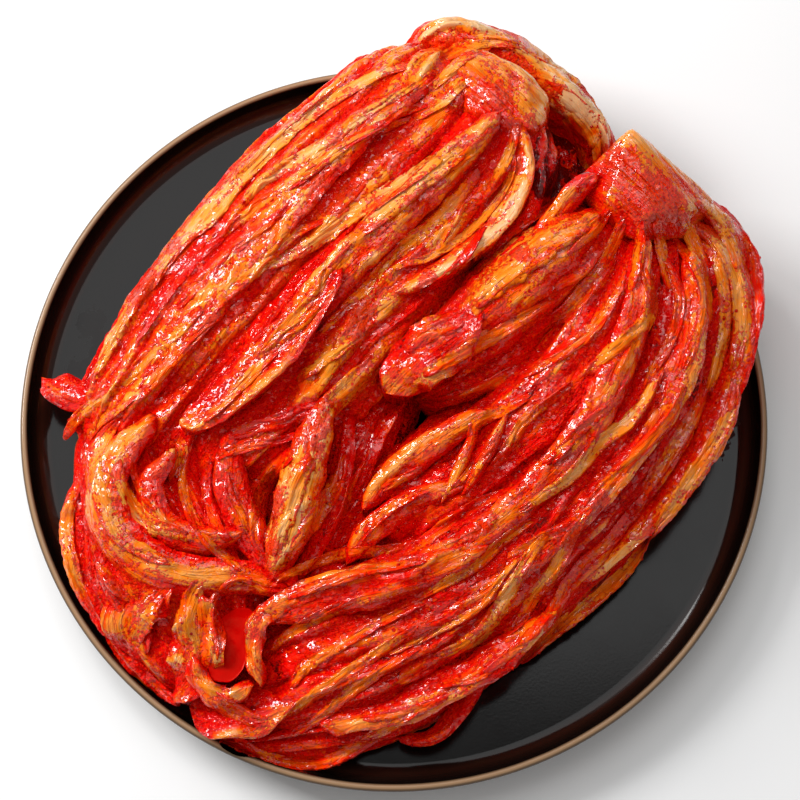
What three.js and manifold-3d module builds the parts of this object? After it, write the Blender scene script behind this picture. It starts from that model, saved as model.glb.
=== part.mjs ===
// Whole-leaf kimchi: two quarters of one napa cabbage lying side by side on a round tray plate.
// Millimetres, +Z up, the table is z = 0. All places below are measured from the plate's centre;
// at the end the whole is moved so that the origin lies under the middle of its box.
// Each quarter is a bundle of long leaves, joined at its root (back right) and loose at its tips
// (front left). A bundle is a few lobes: lofts between a left and a right edge, whose skin is
// stepped into overlapping leaves. Root cores, folded leaves, frills and shreds are fused to it.
import * as THREE from "three";
import { ConvexGeometry } from "three/addons/geometries/ConvexGeometry.js";
import { mergeVertices } from "three/addons/utils/BufferGeometryUtils.js";
import Module from "manifold-3d";

const wasm = await Module();
wasm.setup();

// ---- Driving dimensions ----
const PLATE_RADIUS = 150;
const RIM_TOP = 20.6; // height of the lip's crown
const LIP_WIDTH = 3.2;
const LIP_STEPS = 3; // facets over the lip's crown
const WELL_RADIUS = 140; // flat floor of the tray
const WELL_Z = 11;
const FOOT_RADIUS = 96;
const FOOT_WIDTH = 6;
const PLATE_SEGMENTS = 64;

const FIT_GAP = 0.35; // clearance between pieces that touch
const LOBE_BASE = WELL_Z - 1; // lobes start a little low and are cut level with the plate
const LEAF_STEP = 3.4; // how far one leaf's edge stands over the next
const LEAF_THICKNESS = 2.6;
const BELLY = 0.36; // share of a lobe's height at which it is widest
const RINGS = 15; // cross-sections along a lobe
const LEAF_SHARES = [0.08, 0.9]; // points across one leaf of a lobe's skin
const UNDERSIDE_POINTS = 3; // points across a lobe's hidden underside
const END_SHARE = 0.14; // part of a lobe's length over which an end rounds off
const LEAF_COLUMNS = 4; // points across a loose leaf

// ---- Small helpers ----
// A repeatable random stream in 0..1.
function randomStream(seed) {
  let state = seed;
  return () => {
    state = (state + 0x6d2b79f5) | 0;
    let t = Math.imul(state ^ (state >>> 15), 1 | state);
    t = (t + Math.imul(t ^ (t >>> 7), 61 | t)) ^ t;
    return ((t ^ (t >>> 14)) >>> 0) / 4294967296;
  };
}

const signedPower = (value, power) => Math.sign(value) * Math.abs(value) ** power;

const smoothCurve = (points) =>
  new THREE.CatmullRomCurve3(
    points.map((point) => new THREE.Vector3(...point)),
    false,
    "centripetal",
  );

// A value of a list of stations at t (0 to 1), eased between neighbours.
function easedValue(values, t) {
  const place = t * (values.length - 1);
  const i = Math.min(Math.floor(place), values.length - 2);
  const f = place - i;
  const ease = f * f * (3 - 2 * f);
  return values[i] * (1 - ease) + values[i + 1] * ease;
}

function closedMesh(positions, indices) {
  const geometry = new THREE.BufferGeometry();
  geometry.setAttribute("position", new THREE.Float32BufferAttribute(positions, 3));
  geometry.setIndex(indices);
  return geometry;
}

// Rows of points, each a closed loop, skinned into one solid with a point at either end.
function skinned(start, loops, end) {
  const n = loops[0].length;
  const positions = [...start, ...loops.flat(2), ...end];
  const last = positions.length / 3 - 1;
  const at = (row, i) => 1 + row * n + (i % n);
  const indices = [];
  for (let i = 0; i < n; i++) {
    indices.push(0, at(0, i), at(0, i + 1));
    indices.push(last, at(loops.length - 1, i + 1), at(loops.length - 1, i));
    for (let row = 0; row < loops.length - 1; row++) {
      indices.push(at(row, i), at(row + 1, i), at(row, i + 1));
      indices.push(at(row, i + 1), at(row + 1, i), at(row + 1, i + 1));
    }
  }
  return closedMesh(positions, indices);
}

function solid(geometry) {
  const bare = geometry.clone();
  bare.deleteAttribute("normal");
  bare.deleteAttribute("uv");
  const merged = mergeVertices(bare, 1e-3);
  return new wasm.Manifold(
    new wasm.Mesh({
      numProp: 3,
      vertProperties: merged.attributes.position.array,
      triVerts: new Uint32Array(merged.index.array),
    }),
  );
}

const fused = (geometries) => geometries.map(solid).reduce((a, b) => a.add(b));

// The bundle itself, without crumbs that a cut leaves and without walled-in pockets.
const largestPiece = (manifold) =>
  manifold.decompose().sort((a, b) => b.volume() - a.volume())[0];

function geometryOf(manifold) {
  const { numProp, vertProperties, triVerts } = manifold.getMesh();
  const positions = [];
  for (let i = 0; i < vertProperties.length; i += numProp)
    positions.push(vertProperties[i], vertProperties[i + 1], vertProperties[i + 2]);
  return closedMesh(positions, Array.from(triVerts));
}

const turned = (profile) =>
  new THREE.LatheGeometry(
    profile.map(([r, z]) => new THREE.Vector2(r, z)),
    PLATE_SEGMENTS,
  ).rotateX(Math.PI / 2);

// ---- Plate ----
// Half-section from the underside's centre, out over the foot, up to the lip and back along the well.
function plateGeometry() {
  const lip = LIP_WIDTH / 2;
  const crown = Array.from({ length: LIP_STEPS + 1 }, (_, i) => {
    const angle = (Math.PI * i) / LIP_STEPS;
    return [PLATE_RADIUS - lip + lip * Math.cos(angle), RIM_TOP - lip + lip * Math.sin(angle)];
  });
  return turned([
    [0, 2.2],
    [FOOT_RADIUS - FOOT_WIDTH - 2, 2.2],
    [FOOT_RADIUS - FOOT_WIDTH, 0],
    [FOOT_RADIUS, 0],
    [FOOT_RADIUS + 2.5, 2.6],
    [WELL_RADIUS - 4, 5],
    [WELL_RADIUS + 5, 8.5],
    [PLATE_RADIUS - 1.4, 13.5],
    ...crown,
    [PLATE_RADIUS - LIP_WIDTH - 0.8, 16],
    [WELL_RADIUS + 3.6, 12.6],
    [WELL_RADIUS, WELL_Z],
    [0, WELL_Z],
  ]);
}

// The space that the plate takes, with clearance, out past its lip: food is cut back from it.
function plateSpace() {
  const far = PLATE_RADIUS + 40;
  const lipFoot = PLATE_RADIUS - LIP_WIDTH - FIT_GAP;
  return turned([
    [0, -5],
    [far, -5],
    [far, RIM_TOP + FIT_GAP],
    [lipFoot, RIM_TOP + FIT_GAP],
    [lipFoot - 0.8, 16],
    [WELL_RADIUS + 3.6 - FIT_GAP, 12.6 + FIT_GAP],
    [WELL_RADIUS, WELL_Z + FIT_GAP],
    [0, WELL_Z + FIT_GAP],
  ]);
}

// ---- Lobes: what each quarter's bundle is made of ----
// stations: [left x, left y, right x, right y, crest z] from the root to the tips.
// leaves: how many overlapping leaves the skin shows across the lobe.
const LEFT_LOBES = [
  // low heart under the outer leaves, from edge to edge
  { seed: 14, leaves: 4, stations: [
    [14, 156, 58, 138, 42], [-22, 138, 62, 84, 54], [-62, 99, 26, 36, 53], [-99, 51, -6, 4, 50],
    [-120, 14, -40, -36, 43], [-121, -34, -34, -68, 35], [-108, -86, -56, -96, 26] ] },
  // leaves at the bottom of the cleft between the two quarters
  { seed: 15, leaves: 4, stations: [
    [36, 146, 86, 116, 28], [26, 112, 84, 88, 29], [2, 62, 56, 52, 33], [-20, 28, 22, 22, 36],
    [-44, -12, 4, -20, 41], [-56, -60, -14, -62, 35] ] },
  // rounded base of the outermost leaf, curving round behind the core
  { seed: 16, leaves: 4, stations: [
    [94, 102, 82, 95, 32], [91, 119, 77, 108, 42], [74, 140, 60, 121, 49], [50, 155, 42, 134, 54],
    [20, 163, 26, 138, 56], [-7, 152, 14, 130, 50] ] },
  // outermost stems, along the left side
  { seed: 11, leaves: 8, stations: [
    [10, 156, 50, 146, 56], [-20, 143, 48, 106, 66], [-64, 102, 10, 64, 62], [-102, 54, -34, 18, 55],
    [-123, 18, -68, -16, 47], [-134, -14, -94, -42, 36] ] },
  // inner stems, up to the cleft
  { seed: 12, leaves: 8, stations: [
    [32, 150, 58, 134, 58], [6, 116, 68, 92, 68], [-28, 80, 42, 54, 64], [-60, 42, 12, 16, 60],
    [-84, 6, -20, -18, 54], [-104, -24, -50, -44, 45] ] },
  // folded tips at the lower left
  { seed: 13, leaves: 7, stations: [
    [-132, 4, -88, -8, 36], [-127, -44, -64, -30, 44], [-124, -73, -46, -62, 41],
    [-107, -99, -44, -88, 33], [-84, -122, -58, -108, 22] ] },
];

const RIGHT_LOBES = [
  // low heart under the outer leaves
  { seed: 25, leaves: 4, stations: [
    [82, 98, 122, 92, 40], [60, 48, 140, 34, 52], [28, 10, 120, -20, 49], [-6, -18, 84, -68, 45],
    [-36, -44, 32, -112, 39], [-62, -80, -42, -143, 27] ] },
  // rounded base of the outermost leaf, curving round behind the core
  { seed: 26, leaves: 4, stations: [
    [144, 34, 126, 30, 40], [146, 56, 128, 46, 46], [136, 78, 122, 61, 50], [117, 95, 111, 75, 54],
    [97, 103, 96, 84, 54], [80, 98, 88, 84, 46] ] },
  // short lobe on the cleft's side, ending in a frilled leaf over the left quarter
  { seed: 21, leaves: 6, stations: [
    [68, 88, 106, 62, 66], [50, 70, 84, 36, 69], [28, 52, 60, 14, 65], [10, 34, 36, -2, 57],
    [0, 20, 16, -10, 46] ] },
  // middle bundle, ending beside the deep cleft
  { seed: 22, leaves: 8, stations: [
    [80, 82, 122, 74, 64], [60, 34, 108, 14, 65], [30, 2, 78, -24, 59], [-2, -20, 44, -56, 53],
    [-22, -50, 14, -76, 44] ] },
  // long ribs over the front of the bundle
  { seed: 23, leaves: 9, stations: [
    [88, 86, 126, 82, 62], [74, 14, 126, 4, 61], [40, -26, 91, -52, 57], [2, -54, 49, -91, 52],
    [-38, -68, 3, -122, 45], [-70, -84, -56, -140, 33] ] },
  // outermost stems, along the right side
  { seed: 24, leaves: 6, stations: [
    [98, 96, 126, 88, 50], [102, 50, 145, 46, 54], [90, -6, 129, -9, 48], [62, -40, 100, -55, 43],
    [26, -74, 53, -100, 38], [-16, -98, 6, -130, 33], [-64, -110, -70, -147, 25] ] },
];

// Directions round a cross-section: a few for each leaf over the top, then the underside.
function ringDirections(leaves) {
  const directions = [];
  for (let leaf = 0; leaf < leaves; leaf++)
    for (const share of LEAF_SHARES)
      directions.push({ angle: (Math.PI * (leaf + share)) / leaves, leaf, share });
  for (let i = 1; i <= UNDERSIDE_POINTS; i++)
    directions.push({ angle: Math.PI * (1 + i / (UNDERSIDE_POINTS + 1)), leaf: -1, share: 0 });
  return directions;
}

// How far the skin stands out at one share of a leaf: from tucked under its neighbour to its edge.
function leafRelief({ lift, waves, phase }, share, t) {
  const swell = 0.7 + 0.3 * Math.sin(2 * Math.PI * (waves * t + phase));
  return LEAF_STEP * lift * swell * (1.5 * share - 0.6);
}

// A lobe as one closed loft. grow enlarges it all round, to cut clearance in a neighbour.
function lobeGeometry({ seed, leaves, stations }, grow = 0) {
  const random = randomStream(seed);
  const left = smoothCurve(stations.map(([x, y]) => [x, y, 0]));
  const right = smoothCurve(stations.map(([, , x, y]) => [x, y, 0]));
  const crests = stations.map((station) => station[4]);
  const directions = ringDirections(leaves);
  const habits = Array.from({ length: leaves }, () => ({
    lift: 0.55 + 0.45 * random(),
    waves: 0.8 + 2 * random(),
    phase: random(),
  }));
  const section = (ring) => {
    const t = ring / RINGS;
    const fromEnd = Math.min(t, 1 - t) / END_SHARE;
    const round = fromEnd >= 1 ? 1 : Math.sqrt(1 - (1 - fromEnd) ** 2);
    const centre = left.getPoint(t).add(right.getPoint(t)).multiplyScalar(0.5);
    const across = right.getPoint(t).sub(left.getPoint(t)).multiplyScalar(0.5);
    const crest = easedValue(crests, t);
    const belly = LOBE_BASE + BELLY * (crest - LOBE_BASE);
    return { t, round, centre, across, crest, belly };
  };
  const pole = (ring) => {
    const { centre, belly } = section(ring);
    return [centre.x, centre.y, belly];
  };
  const loop = (ring) => {
    const { t, round, centre, across, crest, belly } = section(ring);
    const halfWidth = across.length();
    across.normalize();
    return directions.map(({ angle, leaf, share }) => {
      const above = Math.sin(angle) >= 0;
      const relief = (leaf < 0 ? 0 : leafRelief(habits[leaf], share, t)) + grow;
      const reach = (size) => size * round + relief * Math.min(1, 2 * round);
      const side = -signedPower(Math.cos(angle), 0.82) * reach(halfWidth);
      const rise = signedPower(Math.sin(angle), above ? 0.9 : 0.45);
      const height = belly + rise * reach(above ? crest - belly : belly - LOBE_BASE);
      return [centre.x + across.x * side, centre.y + across.y * side, height];
    });
  };
  const rings = Array.from({ length: RINGS - 1 }, (_, i) => loop(i + 1));
  return skinned(pole(0), rings, pole(RINGS));
}

// ---- Root cores: the cut ends of the cabbage's heart ----
// Each is a round stub (centre, radii and turn of its waist) under a cut face (top corners).
const LEFT_CORE = {
  centre: [40, 126, 34], radii: [26, 19], turn: -30,
  top: [[26, 144, 62], [20, 128, 68], [30, 106, 71], [46, 93, 70], [61, 104, 67], [63, 118, 66], [50, 134, 68]],
};
const RIGHT_CORE = {
  centre: [101, 82, 34], radii: [27, 14], turn: -14,
  top: [[92, 99, 79], [70, 82, 60], [82, 70, 72], [98, 64, 74], [116, 69, 68], [127, 77, 56], [110, 90, 57]],
};

// grow enlarges it all round, as for a lobe.
function coreGeometry({ centre: [x, y, z], radii: [along, deep], turn, top }, grow = 0) {
  const WAIST_POINTS = 12;
  const HEIGHTS = [[WELL_Z, 0.8], [z, 1]];
  const angle = THREE.MathUtils.degToRad(turn);
  const middle = new THREE.Vector3(x, y, z);
  const corners = top.map((corner) => new THREE.Vector3(...corner));
  for (const corner of corners) corner.add(corner.clone().sub(middle).setLength(grow));
  for (const [height, share] of HEIGHTS)
    for (let i = 0; i < WAIST_POINTS; i++) {
      const around = (2 * Math.PI * i) / WAIST_POINTS;
      const u = (along * share + grow) * Math.cos(around);
      const v = (deep * share + grow) * Math.sin(around);
      corners.push(new THREE.Vector3(
        x + u * Math.cos(angle) - v * Math.sin(angle),
        y + u * Math.sin(angle) + v * Math.cos(angle),
        height,
      ));
    }
  return new ConvexGeometry(corners);
}

// ---- Loose leaves, folds, frills and shreds ----
// path: [x, y, z, width] along the leaf. tilt: degrees that it leans over, at its start and end.
// cup: how far its long edges rise, as a share of its width. ruffle, waves: frilled edges.
const LEFT_LEAVES = [
  // strips peeling off beside the cleft
  { path: [[50, 104, 66, 8], [50, 84, 64, 11], [40, 65, 64, 11], [20, 48, 63, 9], [0, 37, 60, 7]],
    tilt: [30, 20], cup: 0.1 },
  { path: [[56, 98, 58, 8], [54, 78, 56, 10], [42, 58, 54, 9], [26, 41, 52, 7]], tilt: [40, 20] },
  // raised leaf edges over the dome
  { path: [[42, 108, 72, 12], [14, 78, 69, 16], [-13, 52, 66, 16], [-36, 26, 62, 15], [-59, -4, 55, 10]],
    tilt: [-14, -10], ruffle: 0.8, waves: 3 },
  { path: [[16, 128, 65, 14], [-20, 98, 65, 18], [-54, 58, 59, 18], [-84, 20, 52, 16], [-104, -10, 43, 10]],
    tilt: [10, 14], ruffle: 0.8, waves: 3 },
  { path: [[-20, 46, 66, 12], [-42, 18, 62, 18], [-62, -2, 57, 18], [-82, -14, 50, 14]],
    tilt: [12, 24], ruffle: 1.2, waves: 2, cup: 0.14 },
  // broad tongue beside the deep cleft, and the leaf next to it
  { path: [[-26, -2, 54, 12], [-31, -20, 55, 16], [-36, -38, 53, 18], [-40, -56, 49, 16], [-48, -74, 41, 10]],
    tilt: [6, -4], cup: -0.12 },
  { path: [[-18, -4, 42, 9], [-22, -28, 41, 13], [-29, -50, 38, 14], [-40, -72, 35, 10]], tilt: [24, 24] },
  { path: [[-62, -14, 50, 10], [-62, -36, 47, 14], [-54, -56, 44, 14], [-36, -76, 40, 8]], tilt: [-20, 20] },
  // the swirl: two leaves folded round the lower left
  { path: [[-92, -8, 46, 12], [-107, -24, 47, 18], [-112, -44, 45, 20], [-100, -63, 43, 20], [-78, -72, 42, 18],
    [-56, -72, 41, 16], [-38, -78, 39, 8]], tilt: [24, 30], thickness: 3.4, cup: -0.1 },
  { path: [[-84, -22, 49, 8], [-94, -36, 48, 12], [-88, -52, 47, 12], [-72, -58, 46, 12], [-56, -54, 45, 8]],
    tilt: [20, 20], cup: -0.1 },
  // frilled leaf tips
  { path: [[-84, -70, 38, 14], [-94, -77, 38, 22], [-101, -86, 33, 22], [-97, -101, 26, 16]],
    tilt: [10, 10], ruffle: 3.2, waves: 2.5 },
  { path: [[-76, -76, 40, 10], [-74, -90, 38, 20], [-76, -104, 33, 22], [-84, -116, 25, 14]],
    tilt: [-8, 10], ruffle: 3.2, waves: 2.5 },
  { path: [[-115, -40, 30, 14], [-117, -58, 31, 18], [-114, -76, 28, 18], [-105, -92, 24, 12]],
    tilt: [26, 26], ruffle: 2.4, waves: 2 },
  { path: [[-112, 2, 34, 12], [-124, 4, 32, 13], [-134, 8, 29, 15], [-141, 12, 26, 10]],
    tilt: [0, 30], ruffle: 2, waves: 1.5 },
];

const RIGHT_LEAVES = [
  // pale stem over the short lobe, and its frilled end curling over the left quarter
  { path: [[80, 66, 70, 12], [62, 51, 71, 22], [40, 33, 67, 22], [20, 17, 60, 14]], cup: -0.12 },
  { path: [[34, 28, 66, 14], [20, 17, 63, 24], [8, 9, 59, 26], [-3, 0, 50, 18]],
    ruffle: 3, waves: 2, cup: -0.1 },
  // leaf corner standing beside the core
  { path: [[80, 82, 70, 8], [72, 76, 69, 10], [63, 65, 66, 10], [50, 52, 61, 7]], tilt: [-40, -20] },
  // long ribs across the bundle
  { path: [[98, 58, 68, 10], [90, 16, 66, 14], [70, -22, 62, 14], [38, -54, 57, 13], [0, -72, 52, 9]],
    tilt: [-10, -16], ruffle: 0.8, waves: 3 },
  { path: [[116, 54, 62, 12], [112, 12, 60, 16], [88, -26, 56, 16], [52, -62, 52, 15], [10, -88, 47, 13],
    [-30, -100, 41, 10]], tilt: [10, 8], ruffle: 0.8, waves: 3 },
  { path: [[132, 56, 50, 12], [136, 26, 47, 15], [124, -6, 45, 15], [104, -40, 41, 13], [72, -72, 37, 9]],
    tilt: [34, 30], cup: -0.06 },
  { path: [[36, -62, 57, 10], [4, -74, 54, 16], [-26, -80, 50, 18], [-54, -88, 43, 12]],
    tilt: [-16, -20], ruffle: 1.4, waves: 3 },
  { path: [[62, -84, 44, 10], [34, -104, 40, 15], [4, -118, 36, 16], [-28, -126, 31, 12]],
    tilt: [16, 18], ruffle: 1.4, waves: 3 },
  // layered leaf ends beside the deep cleft
  { path: [[36, -10, 60, 10], [16, -22, 56, 12], [0, -34, 51, 12], [-12, -46, 46, 8]], tilt: [-10, -24] },
  { path: [[30, -36, 54, 9], [8, -44, 51, 11], [-8, -54, 47, 11], [-18, -66, 41, 8]], tilt: [-16, -24] },
  // pale straight shreds
  { path: [[44, -10, 59, 4], [35, -27, 56.5, 6], [26, -42, 53, 4]], thickness: 3.4 },
  { path: [[33, -12, 58, 3.4], [26, -29, 56, 5], [18, -45, 52, 3.4]], thickness: 3.2 },
  // leaf that cups the sauce, its curled tip, and the frilled far end
  { path: [[-34, -82, 46, 10], [-48, -84, 45, 12], [-54, -96, 41, 12], [-50, -112, 37, 9]],
    tilt: [30, 20], ruffle: 1, waves: 2 },
  { path: [[34, -108, 34, 7], [24, -120, 29, 9], [14, -129, 25, 8], [2, -130, 24, 6]], tilt: [30, 40] },
  { path: [[-34, -114, 33, 12], [-52, -120, 30, 20], [-66, -122, 27, 20], [-78, -118, 24, 12]],
    tilt: [14, 8], ruffle: 2.6, waves: 2 },
];

// A leaf of even thickness along its path, both faces split alike, narrowing at its two ends.
// grow enlarges it all round, as for a lobe.
function leafGeometry(leaf, grow = 0) {
  const { path, tilt = [0, 0], cup = 0, ruffle = 0, waves = 1, thickness = LEAF_THICKNESS } = leaf;
  const spine = smoothCurve(path.map(([x, y, z]) => [x, y, z]));
  const widths = path.map((station) => station[3]);
  const steps = 2 * path.length - 1 + (ruffle > 1 ? 3 : 0);
  const up = new THREE.Vector3(0, 0, 1);
  const loop = (step) => {
    const t = step / steps;
    const centre = spine.getPoint(t);
    const along = spine.getTangent(t);
    const lean = THREE.MathUtils.degToRad(tilt[0] * (1 - t) + tilt[1] * t);
    const across = new THREE.Vector3().crossVectors(along, up).normalize().applyAxisAngle(along, lean);
    const normal = new THREE.Vector3().crossVectors(across, along);
    const taper = 0.55 + 0.45 * Math.sin(Math.PI * t) ** 0.5;
    const width = easedValue(widths, t) * taper + 2 * grow;
    const depth = thickness + 2 * grow;
    const face = (side) =>
      Array.from({ length: LEAF_COLUMNS }, (_, i) => {
        const s = (2 * i) / (LEAF_COLUMNS - 1) - 1;
        const frill = ruffle * s * Math.sin(2 * Math.PI * waves * (t + 0.21 * Math.sign(s)));
        const rise = cup * width * (s * s - 0.4) + frill + side * depth * (0.5 - 0.14 * s * s);
        return centre
          .clone()
          .addScaledVector(across, (s * width) / 2)
          .addScaledVector(normal, rise)
          .toArray();
      });
    return [...face(-1), ...face(1).reverse()];
  };
  const loops = Array.from({ length: steps - 1 }, (_, i) => loop(i + 1));
  return skinned(spine.getPoint(0).toArray(), loops, spine.getPoint(1).toArray());
}

// ---- Sauce pool, lying level in the cup of leaves at the lower left ----
const POOL = { x: -61, y: -95, level: 35, halfLength: 15, halfWidth: 8.5, depth: 9, turn: 70 };
const POOL_SEGMENTS = 20;
const POOL_HEADROOM = 20; // the hollow stays open this far above the sauce

// A shallow bowl, flat on top. grow and headroom make the hollow that it lies in.
function poolGeometry(grow = 0, headroom = 0) {
  const { x, y, level, halfLength, halfWidth, depth, turn } = POOL;
  const wall = [[0, -1], [0.55, -0.86], [0.84, -0.52], [1, 0]].map(
    ([share, drop]) => new THREE.Vector2(share * (halfWidth + grow), drop * (depth + grow)),
  );
  if (headroom > 0) wall.push(new THREE.Vector2(halfWidth + grow, headroom));
  const top = new THREE.Vector2(0, headroom);
  return new THREE.LatheGeometry([...wall, top], POOL_SEGMENTS)
    .rotateX(Math.PI / 2)
    .scale((halfLength + grow) / (halfWidth + grow), 1, 1)
    .rotateZ(THREE.MathUtils.degToRad(turn))
    .translate(x, y, level);
}

const group = new THREE.Group();
group.name = "kimchi_on_plate";

function addNode(name, geometry, material) {
  const mesh = new THREE.Mesh(geometry, material);
  mesh.name = name;
  group.add(mesh);
}

const glaze = new THREE.MeshStandardMaterial({ color: 0x14100f, roughness: 0.12, metalness: 0 });
const cabbage = new THREE.MeshStandardMaterial({ color: 0xd8401a, roughness: 0.3, metalness: 0 });
const sauce = new THREE.MeshStandardMaterial({ color: 0xc00a02, roughness: 0.1, metalness: 0 });

// All the shapes of one quarter, each enlarged by grow.
const shapesOf = (lobes, core, leaves, grow = 0) => [
  ...lobes.map((lobe) => lobeGeometry(lobe, grow)),
  coreGeometry(core, grow),
  ...leaves.map((leaf) => leafGeometry(leaf, grow)),
];
const hollows = solid(plateSpace()).add(solid(poolGeometry(FIT_GAP, POOL_HEADROOM)));
const left = fused(shapesOf(LEFT_LOBES, LEFT_CORE, LEFT_LEAVES)).subtract(hollows);
const leftSpace = fused(shapesOf(LEFT_LOBES, LEFT_CORE, LEFT_LEAVES, FIT_GAP));
const right = fused(shapesOf(RIGHT_LOBES, RIGHT_CORE, RIGHT_LEAVES)).subtract(hollows).subtract(leftSpace);

addNode("plate", plateGeometry(), glaze);
addNode("cabbage_left", geometryOf(largestPiece(left)), cabbage);
addNode("cabbage_right", geometryOf(largestPiece(right)), cabbage);
addNode("sauce_pool", poolGeometry(), sauce);

// The origin lies on the table, under the middle of the whole's box.
const middle = new THREE.Box3().setFromObject(group).getCenter(new THREE.Vector3());
group.position.set(-middle.x, -middle.y, 0);

export default group;
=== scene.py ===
"""Whole-leaf kimchi on a black tray plate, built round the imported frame.

Places below are in millimetres from the plate's centre, +Z up, and become metres in the frame when a
mesh is made. Each quarter of cabbage is a bundle of lobes skinned with folded leaves, whose sides go
straight down to the plate. Loose leaves, ribs, frills and shreds are laid on it, and their undersides
reach down into what carries them. Every point carries two attributes: flow, where it lies across and
along its leaf, and look, how pale, how pasted and how deep it is.
"""

import math

import bmesh
import bpy
import numpy as np
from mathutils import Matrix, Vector
from mathutils.bvhtree import BVHTree


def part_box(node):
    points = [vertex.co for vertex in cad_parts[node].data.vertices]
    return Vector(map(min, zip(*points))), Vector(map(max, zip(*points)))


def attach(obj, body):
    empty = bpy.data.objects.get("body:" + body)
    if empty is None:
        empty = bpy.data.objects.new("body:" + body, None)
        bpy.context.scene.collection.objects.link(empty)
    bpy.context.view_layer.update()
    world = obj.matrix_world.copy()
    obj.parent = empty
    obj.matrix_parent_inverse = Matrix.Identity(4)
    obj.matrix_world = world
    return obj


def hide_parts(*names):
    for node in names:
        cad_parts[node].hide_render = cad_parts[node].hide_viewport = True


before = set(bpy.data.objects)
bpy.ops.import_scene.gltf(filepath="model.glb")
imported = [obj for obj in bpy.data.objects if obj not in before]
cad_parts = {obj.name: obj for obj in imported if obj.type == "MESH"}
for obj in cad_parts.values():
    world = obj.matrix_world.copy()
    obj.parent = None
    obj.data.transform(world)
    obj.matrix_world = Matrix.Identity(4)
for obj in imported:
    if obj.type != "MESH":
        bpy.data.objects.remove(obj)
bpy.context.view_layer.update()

MM = 0.001
plate_low, plate_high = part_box("plate")
PLATE_CENTRE = np.array([(plate_low.x + plate_high.x) / 2, (plate_low.y + plate_high.y) / 2, 0.0]) / MM

# ---- Plate, as in the solids ----
PLATE_RADIUS = 150.0
RIM_TOP = 20.6
LIP_WIDTH = 3.2
WELL_RADIUS = 140.0
WELL_Z = 11.0
FOOT_RADIUS = 96.0
FOOT_WIDTH = 6.0
PLATE_SEGMENTS = 256
# radius and height of the corners up the wall's inside
WALL = [[WELL_RADIUS, WELL_Z], [WELL_RADIUS + 3.6, 12.6], [PLATE_RADIUS - LIP_WIDTH - 0.8, 16.0]]
FOOD_GAP = 0.35

# Marks on the well: x, y and two half-widths in mm.
WATER_SPOTS = [(-124, 40, 6, 7), (-120, 31, 5, 6), (-128, 21, 6, 4)]
JUICE_SPOTS = [(134, 2, 5, 10), (131, -10, 5, 6)]

# ---- Lobes and leaves, as in the solids ----
LOBE_BASE = WELL_Z - 1
LEAF_STEP = 3.4
LEAF_EDGE = 0.9
LEAF_THICKNESS = 2.6
BELLY = 0.36
END_SHARE = 0.14

# seed: of its folds. leaves: how many lie across it. tone: as for leaves below.
# stations, from root to tips: the left edge's x and y, the right edge's x and y, and the crest's height.
LEFT_LOBES = [
    {"seed": 14, "leaves": 4, "tone": 0.30, "stations": [
        [14, 156, 58, 138, 42], [-22, 138, 62, 84, 54], [-62, 99, 26, 36, 53], [-99, 51, -6, 4, 50],
        [-120, 14, -40, -36, 43], [-121, -34, -34, -68, 35], [-108, -86, -56, -96, 26]]},
    {"seed": 15, "leaves": 4, "tone": 0.12, "stations": [
        [36, 146, 86, 116, 28], [26, 112, 84, 88, 29], [2, 62, 56, 52, 33], [-20, 28, 22, 22, 36],
        [-44, -12, 4, -20, 41], [-56, -60, -14, -62, 35]]},
    {"seed": 16, "leaves": 4, "tone": 0.86, "stations": [
        [94, 102, 82, 95, 32], [91, 119, 77, 108, 42], [74, 140, 60, 121, 49], [50, 155, 42, 134, 54],
        [20, 163, 26, 138, 56], [-7, 152, 14, 130, 50]]},
    {"seed": 11, "leaves": 8, "tone": 0.56, "stations": [
        [10, 156, 50, 146, 56], [-20, 143, 48, 106, 66], [-64, 102, 10, 64, 62], [-102, 54, -34, 18, 55],
        [-123, 18, -68, -16, 47], [-134, -14, -94, -42, 36]]},
    {"seed": 12, "leaves": 8, "tone": 0.40, "stations": [
        [32, 150, 58, 134, 58], [6, 116, 68, 92, 68], [-28, 80, 42, 54, 64], [-60, 42, 12, 16, 60],
        [-84, 6, -20, -18, 54], [-104, -24, -50, -44, 45]]},
    {"seed": 13, "leaves": 7, "tone": 0.44, "stations": [
        [-132, 4, -88, -8, 36], [-127, -44, -64, -30, 44], [-124, -73, -46, -62, 41],
        [-107, -99, -44, -88, 33], [-84, -122, -58, -108, 22]]},
]

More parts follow.
